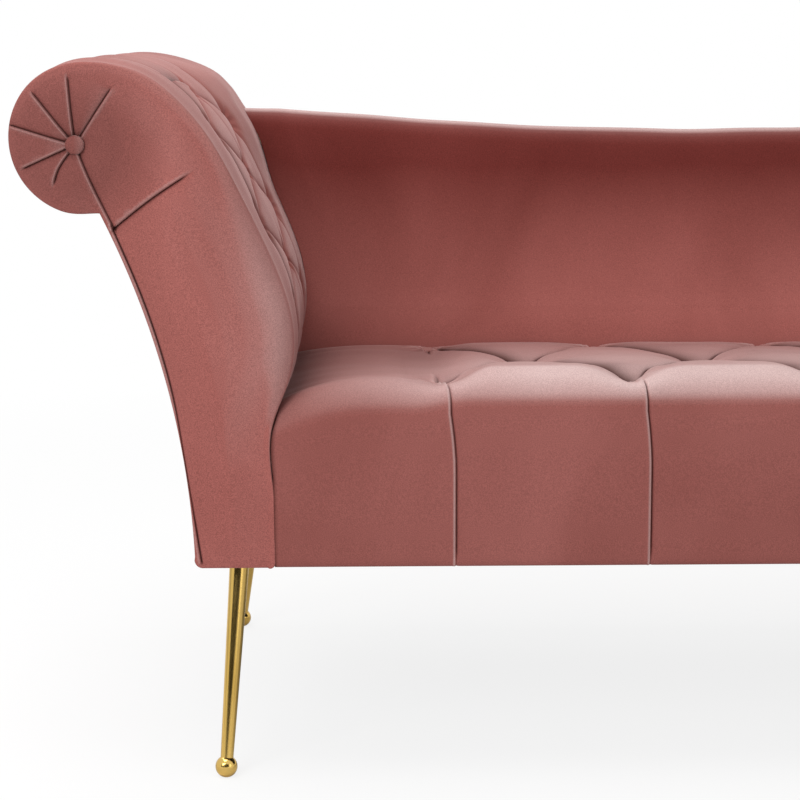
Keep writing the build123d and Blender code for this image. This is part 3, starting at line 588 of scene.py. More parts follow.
def seat_top(x, y):
    """Height of the tufted top without its pleats."""
    v = (y - ROW_FRONT) / ROW_PITCH
    u = (x + 6 * ease(-v / 0.25) - FIRST_COLUMN) / COLUMN_PITCH
    last = COLUMN_COUNT - 1
    # Distance to the nearest button, in a lattice of two staggered sets
    near = np.full(x.shape, 1e9)
    for shift, rows in ((0, (0, 2)), (0.5, (1,))):
        column = np.clip(np.round(u - shift), 0, last - (1 if shift else 0)) + shift
        for row in rows:
            near = np.minimum(near, np.hypot((u - column) * COLUMN_PITCH, (v - row) * ROW_PITCH))
    button = dome((near - 8) / 62)
    inner = np.clip(v, 0, 2)
    middle = ease(np.minimum(inner, 2 - inner) / 0.35)
    diamonds = np.abs(np.sin(pi * (u + inner / 2)) * np.sin(pi * (u - inner / 2))) ** 0.36
    beside = np.abs(u - np.clip(np.round(u), 0, last)) * COLUMN_PITCH
    channels = dome((beside - 4) / 60)
    tufted = channels + (0.62 * button + 0.38 * diamonds * button**0.3 - channels) * middle
    away = np.maximum(np.maximum(-u, u - last), 0) * COLUMN_PITCH
    across = ease(np.minimum(inner, 2 - inner) / 0.3)
    end = 0.45 * np.maximum(np.sin(pi / 2 * np.minimum(1, away / 60)), 0.75 * across) * button**0.2
    share = end + (tufted - end) * ease(np.minimum(u, last - u) / 0.3)
    # The cover rises again in front of the first row of buttons and round the last row
    lip = 0.24 * ease(-v / 0.22) + 0.4 * ease((v - 1.8) / 0.2) * ease((near - 9) / 9)
    share = lip + (1 - lip) * share
    # It evens out along the rolled front edge
    level = 0.6 + 0.28 * ease(np.minimum(u, last - u) / 0.3 + 0.4)
    share = share + (level - share) * ease((-0.23 - v) / 0.24)
    fall = np.clip((-480 - x) / 101, 0, 1)
    front = MIDDLE_FALL * share * ease((v + 0.3) / 0.25) * (1 - ease(v / 0.5))
    return seat_dip(v) - front + PUFF * (1 - PUFF_FALL * inner) * share - 26 * fall**2 * (1 - 0.3 * inner)


def seam_run(s):
    """Share of a seam's sideways shift at a place down the front, from its button."""
    return ease((ROW_FRONT - s) / 155)


def gather_at_seams(x, s):
    """Sideways move that leads the mesh columns along each seam and draws them together there."""
    moved = x.copy()
    for i, shift in enumerate(SEAM_SHIFTS):
        e = x - (FIRST_COLUMN + COLUMN_PITCH * i)
        lead = shift * np.clip(1 - np.abs(e) / 80, 0, 1)
        tight = np.where(np.abs(e) < 10, e * np.abs(e) / 10 - e, 0)
        moved += seam_run(s) * lead + ease((ROW_FRONT - 20 - s) / 50) * tight
    return moved


# Pleats by depth, width of the lip, width of the slope, height of the lip's ridge, and fades at both ends
SEAT_PLEAT_FRONT = (9, 1.6, 4, 0.16)
SEAT_PLEAT_REAR = (6.5, 1.6, 4, 0.16)
SEAT_PLEAT_END = (4.5, 2, 5, 0.2, 0, 80)
SEAT_PLEAT_BACK = (4, 2.4, 6, 0.1)
SEAT_SEAM = (4.5, 0.85, 0.8, 0.65)
# Painted shadows beside the seat's pleats, with the same entries
SEAT_SHADOW_FRONT = (1.5, 0.7, 15, 0, 25, 15)
SEAT_SHADOW_REAR = (1.35, 0.7, 13, 0, 15, 25)


def seat_relief(x, y):
    """Depth of the seat's pleats, seams and gathers in its unrolled plan, and shadows beside them."""
    depth, shadow = np.zeros(len(x)), np.zeros(len(x))
    for k in range(COLUMN_COUNT):
        x0, rear_y = seat_place(k, 2)
        for side in (-1, 1):
            if not 0 <= k + side / 2 <= COLUMN_COUNT - 1:
                continue
            front = np.array([seat_place(k, 0), seat_place(k + side / 2, 1)], float)
            rear = np.array([seat_place(k + side / 2, 1), seat_place(k, 2)], float)
            # The steep lip faces the rear, so that the nearer puff folds over the pleat
            depth = deepest(depth, fold(x, y, front[::-side], *SEAT_PLEAT_FRONT))
            depth = deepest(depth, fold(x, y, rear[::side], *SEAT_PLEAT_REAR))
            dim = fold(x, y, front, *SEAT_SHADOW_FRONT) if side < 0 else fold(x, y, rear, *SEAT_SHADOW_REAR)
            shadow = np.maximum(shadow, dim)
        line = np.arange(FACE_Y - 235, ROW_FRONT, 6.0)
        seam = np.column_stack([x0 + SEAM_SHIFTS[k] * seam_run(line), line])
        depth = deepest(depth, fold(x, y, seam, *SEAT_SEAM))
        if k in (0, COLUMN_COUNT - 1):
            for y0, y1 in ((ROW_FRONT, ROW_FRONT + 130), (rear_y, ROW_FRONT + 290)):
                depth = deepest(depth, fold(x, y, [(x0, y0), (x0, y1)], *SEAT_PLEAT_END))
        depth = deepest(depth, fold(x, y, [(x0, rear_y), (x0, SEAT_REAR_Y + 4)], *SEAT_PLEAT_BACK))
    for column, row in SEAT_BUTTONS:
        depth += gathers(x, y, seat_place(column, row), 1.1, 17, 14, 13, int(column) * 2.1 + row)
    return depth, shadow


def seat_columns():
    """Places of the mesh columns along the seat, and the number of the first one from the first button."""
    step = COLUMN_PITCH / 2 / CELLS
    first = int((SEAT_X - FIRST_COLUMN) / step)
    count = int((END_X - CORNER - FIRST_COLUMN) / step)
    lattice = FIRST_COLUMN + step * np.arange(first, count)
    rounded = END_X - CORNER * (1 - np.linspace(0, 1, 30)) ** 1.5
    return np.concatenate([[SEAT_X], lattice, rounded]), 1 - first


def seat_rows():
    """Places of the mesh rows from the face to the rear, and the number of the row of the front buttons."""
    edge = FACE_Y + EDGE * (1 - np.cos(np.linspace(0, pi / 2, 26)))
    between = np.linspace(FACE_Y + EDGE, ROW_FRONT, 20)[1:]
    lattice = ROW_FRONT + ROW_PITCH / CELLS * np.arange(1, 2 * CELLS + 1)
    behind = np.linspace(lattice[-1], SEAT_REAR_Y - REAR_TURN, 10)[1:]
    turned = SEAT_REAR_Y - np.linspace(7, 0, 7)
    return np.concatenate([edge, between, lattice, behind, turned]), len(edge) + len(between) - 1


def seat_wall(ring, xs):
    """Rows of the wall below the rolled edge, tucked under the frame, and their unrolled plan."""
    inner = np.stack([np.minimum(ring[:, 0], END_X - CORNER), np.maximum(ring[:, 1], FACE_Y + CORNER)], 1)
    out = ring[:, :2] - inner
    out /= np.maximum(np.linalg.norm(out, axis=1, keepdims=True), 1e-9)
    # Each row has its height, how far it stands out, and its level in the plan
    levels = []
    for t in np.linspace(0, 1, 40)[1:]:
        height = ring[:, 2] + (HEM + HEM_ROUND - ring[:, 2]) * t
        levels.append((height, WALL_FULL * np.sin(pi * t) ** 0.8, height))
    for angle in np.radians(np.linspace(0, 90, 7))[1:]:
        levels.append((HEM + HEM_ROUND * (1 - sin(angle)), -HEM_ROUND * (1 - cos(angle)), HEM))
    levels += [(UNDERSIDE - 1.5, -16, HEM), (UNDERSIDE + 0.1, -26, HEM)]
    rows, plan = [], []
    front = slice(0, len(xs))
    for height, stand, level in levels:
        run = ring[:, 1] - (ring[:, 2] - level)
        place = ring[:, :2] + out * stand
        # The front's columns are led sideways along the seams
        place[front, 0] += gather_at_seams(xs, run[front]) - gather_at_seams(xs, ring[front, 1])
        # The last column turns in and closes the groove beside the back
        place[-1, 0] -= END_RETURN
        rows.append(np.column_stack([place, np.broadcast_to(height, len(ring))]))
        plan.append(np.column_stack([place[:, 0] - out[:, 0] * stand, run]))
    return rows, np.concatenate(plan)


def seat_cover():
    """Whole cover of the seat in one mesh."""
    xs, column_zero = seat_columns()
    ys, row_zero = seat_rows()
    x, y = np.meshgrid(xs, ys)
    grid_x, grid_y = x.copy(), y.copy()
    # Round the corner between front and foot end
    p, q = (x - END_X + CORNER) / CORNER, (FACE_Y + CORNER - y) / CORNER
    corner = (p > 0) & (q > 0)
    most = np.maximum(np.maximum(p, q), 1e-6)
    angle = np.where(p >= q, pi / 4 * q / most, pi / 2 - pi / 4 * p / most)
    x = np.where(corner, END_X - CORNER + CORNER * most * np.cos(angle), x)
    y = np.where(corner, FACE_Y + CORNER - CORNER * most * np.sin(angle), y)
    inside = np.where(corner, CORNER * (1 - most), np.minimum(END_X - x, y - FACE_Y))
    x = gather_at_seams(x, y)
    z = seat_top(np.minimum(np.where(corner, grid_x, x), END_X - EDGE), grid_y) - rolled(inside, EDGE)
    z -= rolled(SEAT_REAR_Y - y, REAR_TURN) + np.where(y > SEAT_REAR_Y - 0.01, REAR_TUCK, 0)
    z += 0.8 * ripple(x, y, 130, 3) * np.clip(inside / 60, 0, 1)
    ny, nx = x.shape
    top = grid_points(x, y, z)
    triangles = pleated_faces(ny, nx, row_zero, column_zero, CELLS)
    rim_index = np.concatenate([np.arange(nx), np.arange(1, ny) * nx + nx - 1])
    rows, wall_plan = seat_wall(top[rim_index], xs)
    count = len(rim_index)
    grid = np.vstack([rim_index, len(top) + np.arange(len(rows) * count).reshape(len(rows), count)])
    a, b, c, d = (part.ravel() for part in (grid[:-1, :-1], grid[1:, :-1], grid[1:, 1:], grid[:-1, 1:]))
    faces = np.concatenate([triangles, np.stack([a, b, c], 1), np.stack([a, c, d], 1)])
    points = np.concatenate([top, *rows])
    normals = vertex_normals(points, faces)
    px, py = np.concatenate([top[:, :2], wall_plan]).T
    depth, shadow = seat_relief(px, py)
    # Painted shade in the dips round the buttons and where the seat meets the arm
    dip_shade = np.clip((seat_dip((py - ROW_FRONT) / ROW_PITCH) + 12 - points[:, 2]) / 12, 0, 1)
    dip_shade *= window(py, ROW_FRONT - 30, SEAT_REAR_Y - REAR_TUCK, 30, 20) * ease((px - FIRST_COLUMN + 70) / 60)
    from_arm = points[:, 0] - SEAT_X
    joint_shade = np.clip(1 - from_arm / 4, 0, 1)
    lines = np.maximum(creases(depth, 2.5, 4) - shadow - 0.3 * dip_shade - 0.9 * joint_shade, -1)
    # Turn the cover in where it meets the arm, and keep it clear of the arm's side
    depth = depth * np.clip((points[:, 2] - UNDERSIDE - 2) / 14, 0.15, 1)
    depth += rolled(from_arm, ARM_TURN)
    points = points - normals * depth[:, None]
    near = points[:, 0] < SEAT_X + FOLLOW
    side = arm_side(points[near, 2]) + 0.6
    follow = np.clip(1 - (points[near, 0] - SEAT_X) / FOLLOW, 0, 1) ** 1.5
    points[near, 0] = np.maximum(points[near, 0] + np.minimum(side - SEAT_X, 0) * follow, side)
    obj = piece("seat_velvet", points, faces, seat_rose_painted_light, ["seat_cover"], lines=lines)


seat_cover()


# Inner cover of the arm, tufted like the seat

ARM_CELLS = 40
ARM_STEP = 2.4
ARM_ROW_PITCH = 112
COLUMNS_BEFORE = 19
ARM_TUFT, ARM_SINK = 18, 14
ARM_BUTTON_SINK = 16
ARM_PLEAT_OVER = (8, 1.6, 8, 0.2, 0, 60)
ARM_PLEAT_LOW = (5, 2, 8, 0.2)
ARM_PLEAT_CLOSING = (6, 1.6, 8, 0.25, 0, 6)
ARM_PLEAT_SLANT = (1.6, 6, 6)
# Painted shadows beside the arm's pleats, with the same entries
ARM_SHADOW = (1.2, 0.8, 14, 0, 60, 40)
ARM_SHADOW_CLOSING = (0.8, 0.8, 12, 0, 20, 6)


def arm_rows(column):
    """Rows that have a button in a column of the arm."""
    return (0, 2, 4) if column == 1 else (1, 3, 5)


ARM_PLACES = [(ROW_RUNS[r], y) for k, y in enumerate(ARM_COLUMNS) for r in arm_rows(k)]


def arm_relief(t, y):
    """Depth of the arm's pleats and gathers, and the shadows beside the pleats."""
    depth, shadow = np.zeros(y.shape), np.zeros(y.shape)
    # Straight pleats over the crown, down to the seat and between the outer buttons
    for k, by in enumerate(ARM_COLUMNS):
        rows = arm_rows(k)
        top_run, low_run = ROW_RUNS[rows[0]], ROW_RUNS[rows[-1]]
        over = [(top_run, by), (top_run - 30, by), (CROWN_RUN + 60, by - 2), (CROWN_RUN - 6, by - 3)]
        depth = deepest(depth, fold(t, y, smooth_curve(over, 5), *ARM_PLEAT_OVER))
        depth = deepest(depth, fold(t, y, [(WAIST_RUN + 6, by), (low_run, by)], *ARM_PLEAT_LOW))
        if k == 0:
            edge = [(WAIST_RUN - 20, by), (low_run, by), (CROWN_RUN + 45, by)]
            shadow = fold(t, y, edge, *ARM_SHADOW)
        depth = deepest(depth, fold(t, y, [(low_run, by), (top_run, by)], 3 if k == 1 else 7, 1.8, 7, 0.2))
    # Slanting pleats from the middle buttons to their neighbours
    for r in arm_rows(1):
        for side in (ARM_COLUMNS[0], ARM_COLUMNS[2]):
            for other in (r - 1, r + 1):
                if other < 0:
                    continue
                ends = sorted([(ROW_RUNS[other], side), (ROW_RUNS[r], ARM_COLUMNS[1])], reverse=True)
                depth = deepest(depth, fold(t, y, ends, *ARM_PLEAT_SLANT))
    closing = [(ROW_RUNS[0], ARM_COLUMNS[1]), (ROW_RUNS[0] - 16, -160), (CROWN_RUN + 82, ARM_COLUMNS[0] + 2)]
    closing = smooth_curve(closing, 5)
    depth = deepest(depth, fold(t, y, closing, *ARM_PLEAT_CLOSING))
    shadow = np.maximum(shadow, fold(t, y, closing, *ARM_SHADOW_CLOSING))
    for k, place in enumerate(ARM_PLACES):
        depth += gathers(t, y, place, 0.7, 15, 12, 11, k * 1.7)
    return depth, shadow


def over_line(line, out, y, offset):
    """Points of a cover that follows a line of the arm's section, lifted off it by an offset."""
    lifted = line[:, None] + out[:, None] * offset[..., None]
    return grid_points(lifted[..., 0], y, lifted[..., 1])


def arm_cover():
    """Inner cover of the arm from the neck round the scroll and down to the seat."""
    pitch = ARM_COLUMNS[1] - ARM_COLUMNS[0]
    last = ROW_RUNS[-1]
    run = [np.linspace(0, ROW_RUNS[0], int(ROW_RUNS[0] / ARM_STEP), endpoint=False)]
    run += [np.linspace(a, b, ARM_CELLS, endpoint=False) for a, b in zip(ROW_RUNS, ROW_RUNS[1:])]
    run += [np.linspace(last, ARM_RUN[-1], int((ARM_RUN[-1] - last) / ARM_STEP))]
    row_zero = len(run[0])
    run = np.concatenate(run)
    line = np.stack([np.interp(run, ARM_RUN, ARM_LINE[:, k]) for k in range(2)], 1)
    out = np.stack([np.interp(run, ARM_RUN, ARM_OUT[:, k]) for k in range(2)], 1)
    front = FRONT_Y + edge_round(run)[:, None]
    lead = np.linspace(0, 1, 9)[:-1]
    columns = ARM_COLUMNS[0] + pitch / ARM_CELLS * np.arange(-COLUMNS_BEFORE, 159)
    lattice = np.broadcast_to(columns, (len(run), len(columns)))
    y = np.concatenate([front + (columns[0] - front) * lead, lattice, np.full((len(run), 1), ARM_END_Y)], 1)
    t = np.broadcast_to(run[:, None], y.shape)
    row = np.interp(t, ROW_RUNS, np.arange(6) * 0.5 + 0.5)
    row = np.where(t < ROW_RUNS[0], 0.5 - (ROW_RUNS[0] - t) / ARM_ROW_PITCH, row)
    row = np.where(t > last, 3 + (t - last) / ARM_ROW_PITCH, row)
    column = (y - ARM_COLUMNS[0]) / (2 * pitch)
    near = np.full(y.shape, 1e9)
    for bt, by in ARM_PLACES:
        near = np.minimum(near, np.hypot(t - bt, y - by) / (10 if by == ARM_COLUMNS[1] else 15))
    button = 1 - np.exp(-(near**1.5))
    p, c = np.clip(row, 0.5, 3), np.clip(column, 0, 1)
    diamonds = np.abs(np.sin(pi * (p + c)) * np.sin(pi * (p - c))) ** 0.36
    tufted = 0.84 * button + 0.16 * diamonds * button**0.3
    smooth = 0.94 * button
    inside = window(column, 0, 1, 0.2, 0.2) * window(row, 0.35, 3.15, 0.3, 0.3)
    offset = ARM_TUFT * (smooth + (tufted - smooth) * inside) - ARM_SINK
    # Plain at the edges, along the foot of the slope and where the back stands
    rim = window(y, front, ARM_END_Y, 60, 40)
    low = ease((WAIST_RUN - t) / 60)
    behind = 1 - ease((t - run_at((-668, 716))) / 30) * ease((y - 120) / 66)
    calm = rim * low * behind
    offset = offset * calm * ease((t - CROWN_RUN + 110) / 120)
    offset += 0.6 * ripple(t, y, 120, 11) * calm
    depth, shadow = arm_relief(t, y)
    depth = depth * rim * behind
    offset = offset - depth + rear_swell(line[:, None, 1], y)
    faces = pleated_faces(*y.shape, row_zero, len(lead) + COLUMNS_BEFORE, ARM_CELLS, ARM_CELLS)
    # Painted highlight on raised lips, painted shade in creases and painted shadow beside pleats
    lines = np.maximum(creases(depth, 3, 3) - shadow, -1).reshape(-1)
    obj = piece("arm_velvet", over_line(line, out, y, offset), faces, rose, ["arm_inner_cover"], lines=lines)


arm_cover()


# Flat padded panels cut to an outline


def turned_alike(flat, faces):
    """Triangles of a flat mesh, all turned the same way."""
    (ax, ay), (bx, by), (cx, cy) = (flat[faces[:, k]].T for k in range(3))
    turn = (bx - ax) * (cy - ay) - (by - ay) * (cx - ax)
    return np.where((turn > 0)[:, None], faces, faces[:, ::-1])


def clear_of(points, paths):
    """Points that don't lie close to any of the paths."""
    for line in paths:
        points = points[nearest(points, np.asarray(line, float))[0] > 3.8]
    return points


def panel_mesh(outline, spacing, rings, paths=()):
    """Triangles of a panel: rings along the outline, close lines along paths, and a field between them."""
    outline = np.asarray(outline, float)
    closed = np.vstack([outline, outline[:1]])

    def within(points):
        """Whether points lie inside the outline."""
        hit = np.zeros(len(points), bool)
        for (x0, y0), (x1, y1) in zip(closed, closed[1:]):
            if y0 == y1:
                continue
            cross = (points[:, 1] > min(y0, y1)) & (points[:, 1] <= max(y0, y1))
            hit ^= cross & (points[:, 0] < x0 + (points[:, 1] - y0) / (y1 - y0) * (x1 - x0))
        return hit

    tangent = np.roll(outline, -1, 0) - np.roll(outline, 1, 0)
    normal = np.stack([-tangent[:, 1], tangent[:, 0]], 1)
    normal /= np.maximum(np.linalg.norm(tangent, axis=1, keepdims=True), 1e-9)
    if not within(outline[:1] + normal[:1] * 0.2)[0]:
        normal = -normal
    field = []
    for inset in rings:
        ring = outline + normal * inset
        ring = ring[:: 1 if inset < 6 else 2]
        field.append(ring[(nearest(ring, closed)[0] > 0.93 * inset) & within(ring)])
    low, high = outline.min(0), outline.max(0)
    gx, gy = np.meshgrid(np.arange(low[0], high[0], spacing), np.arange(low[1], high[1], spacing * 0.87))
    gx[1::2] += spacing / 2
    grid = np.stack([gx.ravel(), gy.ravel()], 1)
    grid = grid[within(grid)]
    grid = [grid[nearest(grid, closed)[0] > rings[-1] + spacing * 0.6]]
    close = []
    for line in paths:
        line = even(np.asarray(line, float), 1.6)
        side = outward(line)
        close += [line + side * q for q in (0, 0.5, -0.5, 1.1, -1.1, 1.9, -1.9, 3, -3)]
    if close:
        close = np.concatenate(close)
        close = close[within(close) & (nearest(close, closed)[0] > 0.6)]
        _, keep = np.unique(np.round(close / 0.45), axis=0, return_index=True)
        close = close[np.sort(keep)]
        field, grid = ([clear_of(group, paths) for group in groups] for groups in (field, grid))
        field.append(close)
    points = np.vstack([outline] + field + grid)
    count = len(outline)
    edges = [(i, (i + 1) % count) for i in range(count)]
    out = delaunay_2d_cdt([Vector(p) for p in points], edges, [list(range(count))], 1, 1e-6)
    flat = np.array([tuple(v) for v in out[0]])
    faces = np.array([f for f in out[2] if len(f) == 3])
    inside, index, _ = nearest(flat, closed)
    inside[:count] = 0
    return flat, turned_alike(flat, faces), inside, index


RIM_STEP = 2.4
RINGS = (0.35, 1, 2, 3.4, 5.2, 7.4, 10, 13, 16.5, 20.5, 25, 30)
LOW_X = ARM_INNER_X - 0.8
flank_line = arc_through(NECK, FLANK, (ARM_OUTER_X, HEM), RIM_STEP)[::-1]
arm_rim = even(ARM_LINE[1:], RIM_STEP)
low_side = np.vstack([
    even(np.array([tuple(arm_rim[-1]), (LOW_X, 310), (LOW_X, HEM + 6)]), RIM_STEP)[1:-1],
    arc_points((LOW_X - 6, HEM + 6), 6, 0, -90, 1.5),
])
under_side = np.vstack([
    even(np.array([(LOW_X - 6, HEM), (ARM_OUTER_X + 8, HEM)]), RIM_STEP)[1:-1],
    arc_points((ARM_OUTER_X + 8, HEM + 9), 9, -90, -175, 1.5),
])
flank_side = flank_line[flank_line[:, 1] > HEM + 11]
ARM_OUTLINE = np.vstack([arm_rim, low_side, under_side, flank_side])
RIM_ROUND = np.concatenate([
    edge_round(np.linspace(ARM_RUN[1], ARM_RUN[-1], len(arm_rim))), np.full(len(low_side), 2.5),
    np.full(len(under_side) + len(flank_side), 8.0),
])

# Pleats of the rosette, each with its ends, the way its lip faces and the length of its fade
SPOKES = [
    ([(-790, 757)], 1, 9), ([(-743, 744)], -1, 9), ([(-829, 740)], 1, 9), ([(-852, 704)], 1, 0),
    ([(-842, 657)], -1, 9), ([(-802, 656), (-807, 639)], -1, 9), ([(-766, 640), (-745, 596)], -1, 0),
]
SPOKE_FOLD, SPOKE_SLOPE = (2.8, 0.8, 1.6, 0.35), (2.0, 0.6, 12, 0)
TUCK_FOLD, TUCK_SLOPE = (3.4, 1.0, 1.8, 0.3, 0, 22), (1.6, 1.0, 11, 0, 0, 30)
WELT_FOLD = (4.0, 1.0, 1.2, 0.3)
spoke_lines = []
for ends, _, _ in SPOKES:
    way = np.array(ends[0], float) - SCROLL_BUTTON
    first = np.array(SCROLL_BUTTON) + way / np.linalg.norm(way) * 9
    spoke = [tuple(first)] + ends
    spoke_lines.append(even(np.array(spoke, float), 3) if len(ends) == 1 else smooth_curve(spoke, 3))
# Tuck below the rosette, and welt seam beside the outer flank
tuck_line = smooth_curve([(-746, 596), (-705, 628), (-660, 657)], 3)
welt_line = smooth_curve(
    [(-748, 599), (-723, 539), (-696, 456), (-686, 413), (-678, 363), (-667, 289), (-660, 242)], 4,
)


def facing_relief(x, z, inside):
    """How far the front of the arm stands back from its padded face: rosette, tuck and welt seam, and the
    line values for painted highlight and painted shade along their folds.
    """
    depth = 3.2 * np.exp(-inside / 45)
    bx, bz = SCROLL_BUTTON
    r = np.hypot(x - bx, z - bz)
    depth = depth + 6 * np.exp(-((r / 17) ** 1.6)) + 2.4 * np.exp(-((r / 62) ** 2))
    lines = np.zeros(x.shape)
    for path, (_, turn, fade) in zip(spoke_lines, SPOKES):
        fades = (0, fade)[::turn]
        lines = lines + fold(x, z, path[::turn], *SPOKE_FOLD, *fades)
        depth = depth + fold(x, z, path[::turn], *SPOKE_SLOPE, *fades)
    lines = lines + fold(x, z, tuck_line, *TUCK_FOLD)
    depth = depth + fold(x, z, tuck_line, *TUCK_SLOPE)
    lines = lines + fold(x, z, welt_line[::-1], *WELT_FOLD)
    depth = depth + 0.4 * ripple(x, z, 110, 21) * np.clip(inside / 30, 0, 1)
    return depth + lines, creases(lines, 0.8, 2)


def arm_facings():
    """Front and rear facings of the arm with rosette, tuck and welt."""
    flat, faces, inside, index = panel_mesh(ARM_OUTLINE, 2.6, RINGS, spoke_lines + [tuck_line, welt_line])
    relief, lines = facing_relief(flat[:, 0], flat[:, 1], inside)
    relief = relief * np.clip(inside / 5, 0, 1) - 2.5 * ease((inside - 12) / 40)
    front = np.column_stack([flat[:, 0], FRONT_Y + rolled(inside, RIM_ROUND[index]) + relief, flat[:, 1]])
    obj = piece("arm_front_velvet", front, faces, facing_rose_painted_light, ["arm_front_facing"], lines=lines)
    # The rear facing turns forward to the end of the arm's cover
    share = np.clip(1 - inside / 13, 0, 1)
    roll = (-FRONT_Y - ARM_END_Y) * (1 - np.sqrt(1 - share**2))
    rear = np.column_stack([flat[:, 0], -FRONT_Y - roll - relief, flat[:, 1]])
    obj = piece("arm_rear_velvet", rear, faces[:, ::-1], facing_rose_painted_light, ["arm_rear_facing"], lines=lines)


arm_facings()


def arm_outside():
    """Plain outer cover of the arm below the scroll."""
    step = 4
    line = even(flank_line[flank_line[:, 1] > HEM + 3.5][::-1], step)
    ys = np.linspace(FRONT_Y + 9, -FRONT_Y - 18, 150)
    run, y = np.meshgrid(np.arange(len(line)) * float(step), ys, indexing="ij")
    calm = window(y, ys[0], ys[-1], 50, 50) * window(run, 0, run[-1, 0], 50, 50)
    offset = (1.5 + 0.8 * ripple(run, y, 160, 31)) * calm
    points = over_line(line, -outward(line), y, offset)
    piece("arm_outside_velvet", points, grid_faces(*y.shape)[:, ::-1], rose, ["arm_outer_cover"])


arm_outside()


# Back: padded inside, rear panel and end facing

BACK_FOOT_Z = 345
BACK_BEND_Z = 425
BACK_SLANT = 0.133
SHOULDER_FALL, SHOULDER_DEPTH = 15, 20
CREST_FALL = 1.5
REAR_ROUND = 40
REAR_HEM = 60
CREST_Y = BACK_REAR_Y - REAR_ROUND
BACK_END_X = END_X - 12
FIRST_X = -560
END_ROUND = 10
# Top line: it dips from the arm to a level stretch and falls to the foot end
TOP_DIP_X, TOP_DIP_Z = -75, 667
TOP_FALL_X, TOP_FALL_Z = 150, 671
ARM_RISE, END_FALL = 32, 183


def swing(t):
    """Half a cosine wave from 0 to 1."""
    return (1 - np.cos(pi * np.clip(t, 0, 1))) / 2


def back_top(x):
    """Height of the back's plain top line."""
    high = TOP_DIP_Z + ARM_RISE * (np.clip(TOP_DIP_X - x, 0, None) / 565) ** 1.5
    middle = TOP_DIP_Z + (TOP_FALL_Z - TOP_DIP_Z) * swing((x - TOP_DIP_X) / (TOP_FALL_X - TOP_DIP_X))
    low = TOP_FALL_Z - END_FALL * swing((x - TOP_FALL_X) / (END_X - TOP_FALL_X))
    return np.where(x < TOP_DIP_X, high, np.where(x < TOP_FALL_X, middle, low))


def back_crown(x):
    """How far the top is domed above its plain line."""
    return 2 + 5.4 * ease((x - 270) / 560)


def arm_edge(y, z):
    """Where the back starts beside the arm at a depth and a height."""
    lean = np.interp(z, inner_line[inner_order, 1], ARM_OUT[ARM_RUN > CROWN_RUN][inner_order, 0])
    return arm_side(z) + 0.7 + rear_swell(z, y) / np.maximum(lean, 0.5)


def back_section(x, part, t):
    """Point of the back's section: stretches run up the front, over the top and down the rear."""
    top, crown = back_top(x), back_crown(x)
    shoulder = top - SHOULDER_FALL
    lean = BACK_FRONT_Y + (shoulder - BACK_BEND_Z) * BACK_SLANT
    crest = lean + SHOULDER_DEPTH
    rise = SHOULDER_FALL - CREST_FALL + crown
    turn = t * pi / 2
    upright = BACK_FOOT_Z + (BACK_BEND_Z - BACK_FOOT_Z) * t
    slanted = BACK_BEND_Z + (shoulder - BACK_BEND_Z) * t
    stretches = [
        (BACK_FRONT_Y, upright),
        (BACK_FRONT_Y + (slanted - BACK_BEND_Z) * BACK_SLANT, slanted),
        (crest - SHOULDER_DEPTH * np.cos(turn), shoulder + rise * np.sin(turn)),
        (crest + (CREST_Y - crest) * t, top - CREST_FALL + CREST_FALL * np.sin(turn) + crown * (1 - t**2)),
        (CREST_Y + REAR_ROUND * np.sin(turn), top - REAR_ROUND + REAR_ROUND * np.cos(turn)),
        (BACK_REAR_Y, top - REAR_ROUND - (REAR_HEM - REAR_ROUND + 0.5) * t),
    ]
    chosen = [part == k for k in range(len(stretches))]
    y, z = zip(*stretches)
    return np.select(chosen, y), np.select(chosen, z)


def spread(share, edge):
    """Places at shares of the way from the arm to the foot end, where the arm's edge depends on the place."""
    x = FIRST_X + share * (BACK_END_X - FIRST_X)
    for _ in range(8):
        start = edge(x)
        x = start + share * (BACK_END_X - start)
    return x, start


def back_inside():
    """Inner cover of the back, from behind the seat over the top to the rear hem."""
    counts = (16, 76, 20, 18, 22, 6)
    part = np.concatenate([np.full(n, k) for k, n in enumerate(counts)])
    t = np.concatenate([np.linspace(0, 1, n + 1)[1:] for n in counts])
    share, part = np.meshgrid(np.linspace(0, 1, 330), part)
    t = np.broadcast_to(t[:, None], part.shape)
    x, start = spread(share, lambda at: arm_edge(*back_section(at, part, t)))
    y, z = back_section(x, part, t)
    # Soften the section where its stretches meet
    y, z = (np.apply_along_axis(softened, 0, a, 12, 4.5) for a in (y, z))
    points = grid_points(x, y, z)
    faces = grid_faces(*x.shape)
    normals = vertex_normals(points, faces)
    rise = np.clip((z - 400) / 50, 0, 1) * np.clip((x - start) / 40, 0, 1)
    rise = rise * np.clip((BACK_END_X - x) / 12, 0.2, 1)
    soft = (np.where(part < 4, 2.8, 1.6) + 0.8 * ripple(x, z, 190, 41)) * rise
    points = points + normals * soft.reshape(-1)[:, None]
    obj = piece("back_velvet", points, faces, back_rose_painted_light, ["back_inner_cover"])


back_inside()


def back_outside():
    """Rear cover of the back, with its edges turned in."""
    share, t = np.meshgrid(np.linspace(0, 1, 240), np.linspace(0, 1, 90))

    def height(x):
        """Height of each row at a place."""
        return UNDERSIDE + t * (back_top(x) - REAR_HEM - UNDERSIDE)

    def edge(x):
        """Where each row starts: at the arm's foot or beside its slope."""
        return np.where(height(x) < WAIST[1], ARM_INNER_X + 2, arm_edge(BACK_REAR_Y, height(x)))

    x, start = spread(share, edge)
    z = height(x)
    above, below = back_top(x) - REAR_HEM - z, z - UNDERSIDE
    calm = window(x, start, BACK_END_X, 70, 70) * ease(below / 70) * ease(above / 70)
    y = BACK_REAR_Y + (1.6 + 0.9 * ripple(x, z, 220, 51)) * calm
    y -= 3 * np.exp(-above / 4) + 3 * np.exp(-below / 4)
    points = grid_points(x, y, z)
    piece("back_rear_velvet", points, grid_faces(*x.shape)[:, ::-1], rose, ["back_outer_cover"])


back_outside()


